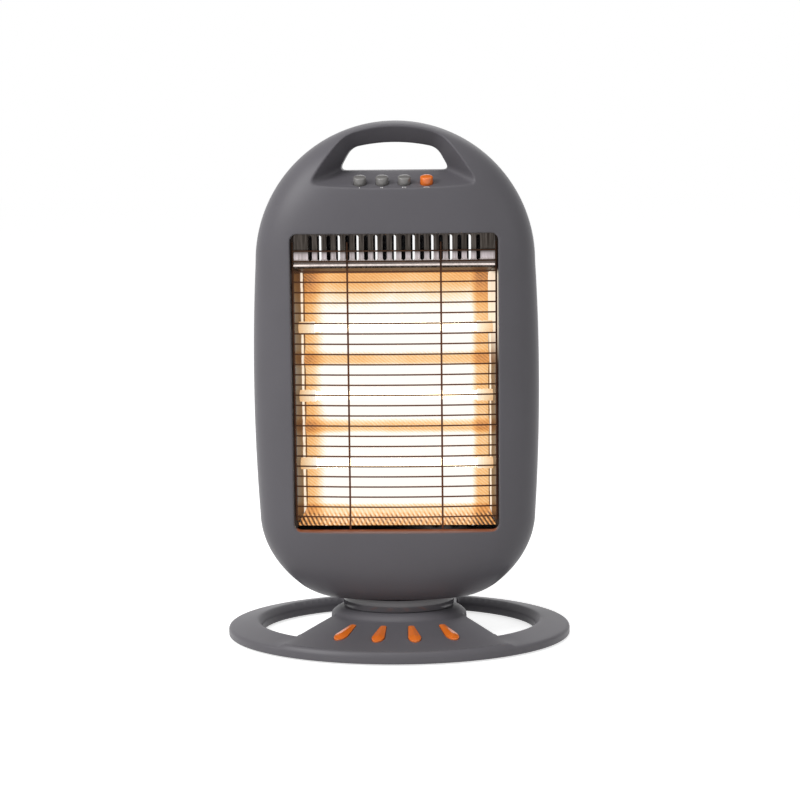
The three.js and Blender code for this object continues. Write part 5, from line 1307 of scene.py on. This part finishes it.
class HEATER_OT_shells(bpy.types.Operator):
    """Builds the front and rear shells with the window, handle and vents"""
    bl_idname = "heater.shells"
    bl_label = "Body shells"

    def execute(self, context):
        sizes = context.scene.heater_sizes
        for name, side, depth in (("front_shell", -1, FRONT_DEPTH), ("rear_shell", 1, REAR_DEPTH)):
            mesh = close(shell_half(side, depth, sizes.edge / MM), name + "_skin", facing=(0, side, 0))
            piece(name + "_skin", mesh, "textured_abs", "heater_body", [name], sizes.wall)
        return {"FINISHED"}


class HEATER_OT_base(bpy.types.Operator):
    """Builds the ring base with its fans and hub, the orange inserts and the feet"""
    bl_idname = "heater.base"
    bl_label = "Base"

    def execute(self, context):
        mesh = close(base_skin(), "base_skin", facing=(0, 0, 1))
        piece("base_skin", mesh, "base_abs", "base", ["base_ring"], BASE_WALL * MM, sharp=50)
        # Pads for the feet and posts for the cover's screws stand under the skin.
        bm = bmesh.new()
        for spot in FOOT_SPOTS:
            lathe(bm, FOOT_PAD, 24, (*spot, 0), closed=True)
        for spot in BASE_SCREWS:
            lathe(bm, SCREW_POST, 20, (*spot, 0), closed=True)
        mesh = close(bm, "base_fittings")
        piece("base_fittings", mesh, "base_abs", "base", ())
        for i, spot in enumerate(INSERT_SPOTS, 1):
            mesh = close(insert_shape(spot), f"insert_{i}", merge=0.05)
            piece(f"insert_{i}", mesh, "orange_abs", "base", [f"accent_insert_{i}"], sharp=14)
        bm = bmesh.new()
        lathe(bm, FOOT_PROFILE)
        spots = [(*spot, 0) for spot in FOOT_SPOTS]
        mesh = repeated("feet", close(bm, "foot_shape"), spots, "vulcanised_rubber")
        piece("feet", mesh, "vulcanised_rubber", "base", numbered("foot", 4))
        return {"FINISHED"}


class HEATER_OT_collar(bpy.types.Operator):
    """Builds the oval collar that the body turns on, with its hollow spindle"""
    bl_idname = "heater.collar"
    bl_label = "Swivel collar"

    def execute(self, context):
        low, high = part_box("swivel_collar")
        end, top = low[2] / MM, high[2] / MM
        wide, deep, wall, bottom, spindle, bore = COLLAR.values()
        # The band's outer side, by how far each row lies inside its widest one, and its level.
        band = [(wall, bottom), (0.7, bottom), (0.2, bottom + 0.25), (0, bottom + 0.9), (0, top - 1.1),
                (0.25, top - 0.35), (0.9, top)]
        rows = [(wide - inset, deep - inset, level) for inset, level in band]
        rows += [(bore, bore, top), (bore, bore, end), (spindle, spindle, end), (spindle, spindle, top - wall),
                 (wide - wall, deep - wall, top - wall)]
        angles = np.linspace(0, 2 * math.pi, 128, endpoint=False)
        loops = [at_height(oval(a, b, angles), level) for a, b, level in rows]
        bm = bmesh.new()
        strip(bm, loops + loops[:1])
        mesh = close(bm, "collar_band")
        piece("collar_band", mesh, "polished_abs", "heater_body", ["swivel_collar"])
        return {"FINISHED"}


class HEATER_OT_buttons(bpy.types.Operator):
    """Builds the push buttons and the printed marks in front of them"""
    bl_idname = "heater.buttons"
    bl_label = "Buttons"

    def execute(self, context):
        for x, name in zip(BUTTON_X, (*numbered("heat_button", 3), "swing_button")):
            bm = bmesh.new()
            lathe(bm, CAP_PROFILE, 48, (x, -BUTTON_DISTANCE, BUTTON_LEVEL), Euler((BUTTON_TILT, 0, 0)))
            mesh = close(bm, name + "_cap")
            finish_name, slot = ("orange_abs", "accent_orange") if name == "swing_button" else (
                "button_abs", "button_grey")
            piece(name + "_cap", mesh, finish_name, name, [name], sharp=50)

        # Generic marks: one, two and three strokes, and an arc for the swing.
        bm = bmesh.new()
        for count, x in zip((1, 2, 3), BUTTON_X):
            for i in range(count):
                at = x + (i - (count - 1) / 2) * MARK["pitch"]
                self.stroke(bm, [(at, level) for level in np.linspace(MARK["near"], MARK["far"], 3)])
        arc = oval(SWING_MARK["wide"], SWING_MARK["deep"],
                   math.pi / 2 - np.linspace(-SWING_MARK["turn"], SWING_MARK["turn"], 9))
        self.stroke(bm, arc * np.array([1, -1]) + np.array([BUTTON_X[3], SWING_MARK["far"]]))
        mesh = close(bm, "button_marks", merge=0.001)
        piece("button_marks", mesh, "printed_ink", "heater_body", ())
        return {"FINISHED"}

    def stroke(self, bm, path):
        """A printed stroke along a path of points on the shelf."""
        path = np.array(path, float)
        side = unit(np.gradient(path, axis=0))[:, ::-1] * np.array([-1, 1]) * MARK["width"] / 2
        outline = on_shelf(np.concatenate([path + side, (path - side)[::-1]]))
        for row in strip(bm, [outline - SHELF_DOWN * MARK[key] for key in ("sunk", "raised")]):
            bm.faces.new(row)


class HEATER_OT_chamber(bpy.types.Operator):
    """Builds the reflector, the side walls, the vent plate and the lamps"""
    bl_idname = "heater.chamber"
    bl_label = "Heating chamber"

    def execute(self, context):
        sizes = context.scene.heater_sizes
        self.tray(sizes.sheet)
        self.side_walls(sizes.sheet)
        self.vents()
        self.tubes()
        self.filaments(sizes.turns)
        self.lamp_ends()
        return {"FINISHED"}

    def tray(self, sheet):
        """The folded tray, with a ridge between each two lamps. It narrows towards its back."""
        front, back = CHAMBER_FRONT, CHAMBER_BACK
        path = [(front + 1, 411.5), (back - 2, 401), (back, 389)]
        for upper, lower in zip(LAMP_LEVELS, LAMP_LEVELS[1:]):
            ridge = (upper + lower) / 2
            path += [(back, ridge + 11), (back - 10, ridge), (back, ridge - 11)]
        path += [(back, 154), (back - 2, 142), (front + 1, 131)]
        rows = []
        for y, z in spaced(rounded_path(path, 3.2), 6):
            half = CHAMBER_HALF + (CHAMBER_BACK_HALF - CHAMBER_HALF) * (y - front) / (back + 2 - front)
            rows.append(at_depth(np.stack([np.linspace(-half, half, 45), np.full(45, z)], axis=1), y))
        bm = bmesh.new()
        strip(bm, rows, closed=False)
        mesh = close(bm, "reflector_tray")
        turn_to(mesh, (0, back, sum(LAMP_LEVELS) / 3), (0, -1, 0))
        piece("reflector_tray", mesh, "stuccoed_aluminium", "heater_body", ["reflector"],
              sheet)

    def side_walls(self, sheet):
        """The side walls, cut out of a flat map of the run along their plan and their height."""
        front = CHAMBER_FRONT
        plan = spaced(rounded_path([(95, 17.3), (101, 17.3), (108, front), (113.1, front)], 1.5, 3), 3)
        run = np.concatenate([[0], np.cumsum(np.linalg.norm(np.diff(plan, axis=0), axis=1))])
        # The lamps' ends come through the slanting part of the plan, between its folds.
        lamp_run = np.interp(-LAMP_Y, -plan[6:-2, 1], run[6:-2])
        outer = spaced([(0, 128), (run[-1], 128), (run[-1], 448), (0, 448)], 5, closed=True)
        loops = [outer, *(circle((lamp_run, z), 6.9) for z in LAMP_LEVELS)]
        field = np.array([(r, z) for r in run[1:-1] for z in np.arange(133, 447, 6)])
        for side, name in ((-1, "left"), (1, "right")):
            def lift(points, side=side):
                x, y = (np.interp(points[:, 0], run, plan[:, axis]) for axis in (0, 1))
                return np.stack([side * x, y, points[:, 1]], axis=1)
            bm = bmesh.new()
            fill(bm, loops, field, 1.0, lift)
            mesh = close(bm, f"side_wall_{name}")
            turn_to(mesh, (side * CHAMBER_HALF, 0, 230), (-side, 0, 0))
            piece(f"side_wall_{name}", mesh, "rolled_aluminium", "heater_body", [f"end_plate_{name}"],
                  sheet)

    def vents(self):
        """A plate with a row of slots, each slot in its own cell, and a lip that leans forward below."""
        y, bottom, top, pitch, count, slot_width, slot_bottom, slot_top = VENT_PLATE.values()
        cell = bmesh.new()
        corners = [(-pitch / 2, bottom), (pitch / 2, bottom), (pitch / 2, top), (-pitch / 2, top)]
        slot = slot_loop(0, slot_bottom, slot_top, slot_width, 8)
        patch(cell, [np.array(corners), slot], [], lambda p: at_depth(p, y))
        strip(cell, [at_depth(slot, y), at_depth(slot, y + 0.9)])
        shape = close(cell, "vent_cell")
        turn_to(shape, (pitch / 2, y, bottom), (0, -1, 0))
        spots = [((i - (count - 1) / 2) * pitch, 0, 0) for i in range(count)]
        bm = bmesh.new()
        bm.from_mesh(repeated("vent_cells", shape, spots, "vent_aluminium"))
        bmesh.ops.scale(bm, vec=(1 / MM, 1 / MM, 1 / MM), verts=bm.verts)
        half, end = CHAMBER_HALF, pitch * count / 2
        for side in (-1, 1):
            strip(bm, [[(side * x, y, bottom), (side * x, y, top)] for x in (end, half)], closed=False)
        # The lip runs forward and down to its nose, and its underside goes back to the plate.
        lip = rounded_path([(y, bottom), (-47.9, 413.8), (-48.2, 412.2), (-47.2, 411.2)], 1.2, 4)
        under = [(-47.2, 411.2), (-47.0, 412.8), (-41.2, 414.9)]
        across = np.concatenate([[-half], np.linspace(-end, end, count + 1), [half]])
        for path in (lip, under):
            rows = [np.stack([across, np.full(len(across), depth), np.full(len(across), z)], axis=1)
                    for depth, z in path]
            strip(bm, rows, closed=False)
        mesh = close(bm, "vent_panel", facing=(0, -1, 0), merge=0.05)
        piece("vent_panel", mesh, "vent_aluminium", "heater_body", ["vent_plate"], sharp=30)

    def lying(self, profile, steps):
        """A turned shape along X."""
        bm = bmesh.new()
        lathe(bm, profile, steps, turn=Euler((0, math.pi / 2, 0)), closed=True)
        return close(bm, "lying_shape")

    def tubes(self):
        """The quartz tubes."""
        spots = [(0, LAMP_Y, z) for z in LAMP_LEVELS]
        mesh = repeated("lamp_tubes", self.lying(TUBE_PROFILE, 32), spots, "fused_quartz")
        piece("lamp_tubes", mesh, "fused_quartz", "heater_body", numbered("lamp_tube", 3))

    def filaments(self, turns):
        """A coil of tungsten in each tube."""
        mesh = grown(coil_tree(), "filament_coils", {
            "Turns": float(turns), "Length": COIL["length"] * MM, "Coil Radius": COIL["radius"] * MM,
            "Wire Radius": COIL["wire"] * MM, "Count": len(LAMP_LEVELS),
            "Lowest": (0.0, LAMP_Y * MM, LAMP_LEVELS[-1] * MM), "Step": (0.0, 0.0, LAMP_PITCH * MM),
            "Material": FINISHES["hot_tungsten"]})
        piece("filament_coils", mesh, "hot_tungsten", "heater_body", numbered("filament", 3))

    def lamp_ends(self):
        """The ceramic ends of the tubes."""
        spots, shape = [(0, LAMP_Y, z) for z in LAMP_LEVELS], self.lying(LAMP_CAP, 28)
        for side, turn in (("right", 0.0), ("left", math.pi)):
            name, nodes = f"lamp_caps_{side}", numbered("lamp_cap", 3, f"_{side}")
            mesh = repeated(name, shape, spots, "steatite_ceramic", turn=(0.0, 0.0, turn))
            piece(name, mesh, "steatite_ceramic", "heater_body", nodes)


class HEATER_OT_guard(bpy.types.Operator):
    """Builds the wire guard: thin wires across, and heavier ones upright behind them"""
    bl_idname = "heater.guard"
    bl_label = "Guard"

    def execute(self, context):
        metres = {key: value * MM for key, value in GUARD.items()}
        count = context.scene.heater_sizes.wires
        meshes = [grown(crossing_tree(), "cross_wires", {
            "Half Width": metres["half"], "Edge Y": metres["edge"], "Bow": metres["bow"],
            "Bow Width": metres["bow_width"], "Count": count, "Lowest": metres["lowest"],
            "Pitch": metres["rise"] / (count - 1), "Radius": metres["wire"],
            "Material": FINISHES["brown_nickel_painted_glow"]})]
        for x, foot in UPRIGHTS:
            bm = bmesh.new()
            y = GUARD["edge"] - GUARD["bow"] * (1 - (x / GUARD["bow_width"]) ** 2) + 1.6
            radius = GUARD["upright"]
            lathe(bm, [(0.01, foot), (radius, foot), (radius, 439), (0.01, 439)], 12, (x, y, 0))
            meshes.append(close(bm, "upright"))
        mesh = joined("guard_wires", meshes)
        piece("guard_wires", mesh, "brown_nickel_painted_glow", "heater_body", ["guard_grille"],
              sharp=60)
        return {"FINISHED"}


class HEATER_OT_fastenings(bpy.types.Operator):
    """Builds the screws with their cross recesses and the gland of the mains lead"""
    bl_idname = "heater.fastenings"
    bl_label = "Screws and gland"

    def execute(self, context):
        behind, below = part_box("shell_screw_1")[1][1] / MM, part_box("base_screw_1")[0][2] / MM
        for kind, body, length, spots, turn in (
                ("shell_screw", "heater_body", 20, [(x, behind, z) for x, z in SHELL_SCREWS], math.pi / 2),
                ("base_screw", "base", 12, [(*spot, below) for spot in BASE_SCREWS], 0.0)):
            mesh = repeated(kind + "s", self.screw(length), spots, "zinc_plated_steel", turn=(turn, 0.0, 0.0))
            piece(kind + "s", mesh, "zinc_plated_steel", body, numbered(kind, 4))
        inner_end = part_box("cord_gland")[0][1] / MM
        bm = bmesh.new()
        lathe(bm, GLAND_PROFILE, 40, (0, inner_end, GLAND_LEVEL), Euler((-math.pi / 2, 0, 0)), closed=True)
        mesh = close(bm, "gland_bush")
        piece("gland_bush", mesh, "black_polyamide", "heater_body", ["cord_gland"])
        return {"FINISHED"}

    def screw(self, length):
        """A pan-head screw that points along +Z from its head's outer face."""
        bm = bmesh.new()
        arm, half, face, head, shank = 1.7, 0.42, 2.4, 3.6, 1.7
        quarter = [(half, -arm), (half, -half), (arm, -half)]
        cross = []
        for _ in range(4):
            cross += quarter
            quarter = [(-y, x) for x, y in quarter]
        cross = np.array(cross)
        patch(bm, [circle((0, 0), face), cross], [], lambda p: at_height(p, 0))
        made = strip(bm, [at_height(cross, 0), at_height(cross * 0.7, 0.8)])
        bm.faces.new(made[-1])
        profile = ((face, 0), (3.0, 0.15), (3.5, 0.5), (head, 0.8), (head, 1.2), (shank, 1.2),
                   (shank, length - 1.5), (0.2, length))
        made = strip(bm, [at_height(circle((0, 0), radius), level) for radius, level in profile])
        bm.faces.new(made[-1])
        return close(bm, "screw_shape")


class HEATER_OT_stage(bpy.types.Operator):
    """Sets the floor, the lights and the camera"""
    bl_idname = "heater.stage"
    bl_label = "Stage"

    def execute(self, context):
        scene = context.scene
        scene.view_settings.view_transform = "Standard"
        self.floor(scene)
        self.world(scene)
        self.lamps(scene)
        self.camera(scene)
        return {"FINISHED"}

    def seen(self, tree):
        """1 for what the camera sees, directly, in a reflection or through glass."""
        rays = add(tree, "ShaderNodeLightPath").outputs
        seen = add(tree, "ShaderNodeMath", {0: rays["Is Camera Ray"], 1: rays["Is Glossy Ray"]},
                   operation="MAXIMUM")
        return add(tree, "ShaderNodeMath", {0: seen, 1: rays["Is Transmission Ray"]}, operation="MAXIMUM")

    def floor(self, scene):
        """Matte paper, pale to the eye and with the heater's shadow."""
        bm = bmesh.new()
        bmesh.ops.create_grid(bm, x_segments=1, y_segments=1, size=12)
        mesh = bpy.data.meshes.new("floor")
        bm.to_mesh(mesh)
        bm.free()
        floor = bpy.data.objects.new("floor", mesh)
        scene.collection.objects.link(floor)
        material = bpy.data.materials.new("matte_paper")
        material.use_nodes = True
        tree = material.node_tree
        tree.nodes.clear()
        lit = add(tree, "ShaderNodeMath", {0: self.seen(tree), 1: 0.72}, operation="MULTIPLY")
        paper = add(tree, "ShaderNodeBsdfDiffuse", {"Color": linear("#e6e6e6")})
        white = add(tree, "ShaderNodeEmission", {"Color": (1, 1, 1, 1), "Strength": lit})
        both = add(tree, "ShaderNodeAddShader", {0: paper, 1: white})
        add(tree, "ShaderNodeOutputMaterial", {"Surface": both})
        mesh.materials.append(material)

    def world(self, scene):
        """White to the eye, and a dimmer even light on the object."""
        world = bpy.data.worlds.new("studio")
        scene.world = world
        world.use_nodes = True
        tree = world.node_tree
        tree.nodes.clear()
        level = add(tree, "ShaderNodeMapRange", {"Value": self.seen(tree), "To Min": 0.35, "To Max": 1.0})
        back = add(tree, "ShaderNodeBackground", {"Color": (1, 1, 1, 1), "Strength": level})
        add(tree, "ShaderNodeOutputWorld", {"Surface": back})

    def lamps(self, scene):
        """Soft square lamps, each with its place, its side and its share of the key light's power."""
        for name, place, size, share in (
                ("key", (-1.8, -1.3, 1.8), 1.2, 1.02), ("fill", (2.0, -1.3, 1.0), 1.2, 0.08),
                ("top", (-0.2, -0.9, 2.3), 0.9, 0.25), ("rear", (0.4, 2.0, 1.9), 1.4, 0.1)):
            light = bpy.data.lights.new(name, "AREA")
            light.energy, light.size = scene.heater_look.key * share, size
            lamp = bpy.data.objects.new(name, light)
            lamp.location = place
            lamp.rotation_euler = (Vector((0, 0, 0.3)) - Vector(place)).to_track_quat("-Z", "Y").to_euler()
            scene.collection.objects.link(lamp)

    def camera(self, scene):
        """The photograph is taken a little from the right, looks down a little and leans a little left."""
        distance, height = 2.234, 0.573
        turn, down, lean = (math.radians(angle) for angle in (1.8, 7.92, -0.6))
        camera = bpy.data.cameras.new("camera")
        camera.lens, camera.sensor_width, camera.shift_x = 92.25, 36, 0.004
        viewer = bpy.data.objects.new("camera", camera)
        viewer.location = (distance * math.sin(turn), -distance * math.cos(turn), height)
        aim = Matrix.Rotation(turn, 3, "Z") @ Matrix.Rotation(math.pi / 2 - down, 3, "X")
        viewer.rotation_euler = (aim @ Matrix.Rotation(lean, 3, "Z")).to_euler()
        scene.collection.objects.link(viewer)
        scene.camera = viewer


class HEATER_PT_build(bpy.types.Panel):
    """Lists the steps that build the heater"""
    bl_label = "Halogen heater"
    bl_idname = "HEATER_PT_build"
    bl_space_type = "VIEW_3D"
    bl_region_type = "UI"
    bl_category = "Heater"

    def draw(self, context):
        for step in STEPS:
            self.layout.operator(step.bl_idname)
        for group, names in (
                (context.scene.heater_sizes, ("wall", "edge", "sheet", "wires", "turns")),
                (context.scene.heater_look, ("shell", "button", "accent", "wire", "glow", "throw", "key"))):
            for name in names:
                self.layout.prop(group, name)


STEPS = (
    HEATER_OT_finishes, HEATER_OT_shells, HEATER_OT_base, HEATER_OT_collar, HEATER_OT_buttons,
    HEATER_OT_chamber, HEATER_OT_guard, HEATER_OT_fastenings, HEATER_OT_stage)
CLASSES = (HeaterSizes, HeaterLook, *STEPS, HEATER_PT_build)


def register():
    for item in CLASSES:
        bpy.utils.register_class(item)
    bpy.types.Scene.heater_sizes = bpy.props.PointerProperty(type=HeaterSizes)
    bpy.types.Scene.heater_look = bpy.props.PointerProperty(type=HeaterLook)


def unregister():
    del bpy.types.Scene.heater_look
    del bpy.types.Scene.heater_sizes
    for item in reversed(CLASSES):
        bpy.utils.unregister_class(item)


def main():
    register()
    for step in STEPS:
        space, name = step.bl_idname.split(".")
        getattr(getattr(bpy.ops, space), name)()


if __name__ == "__main__":
    main()
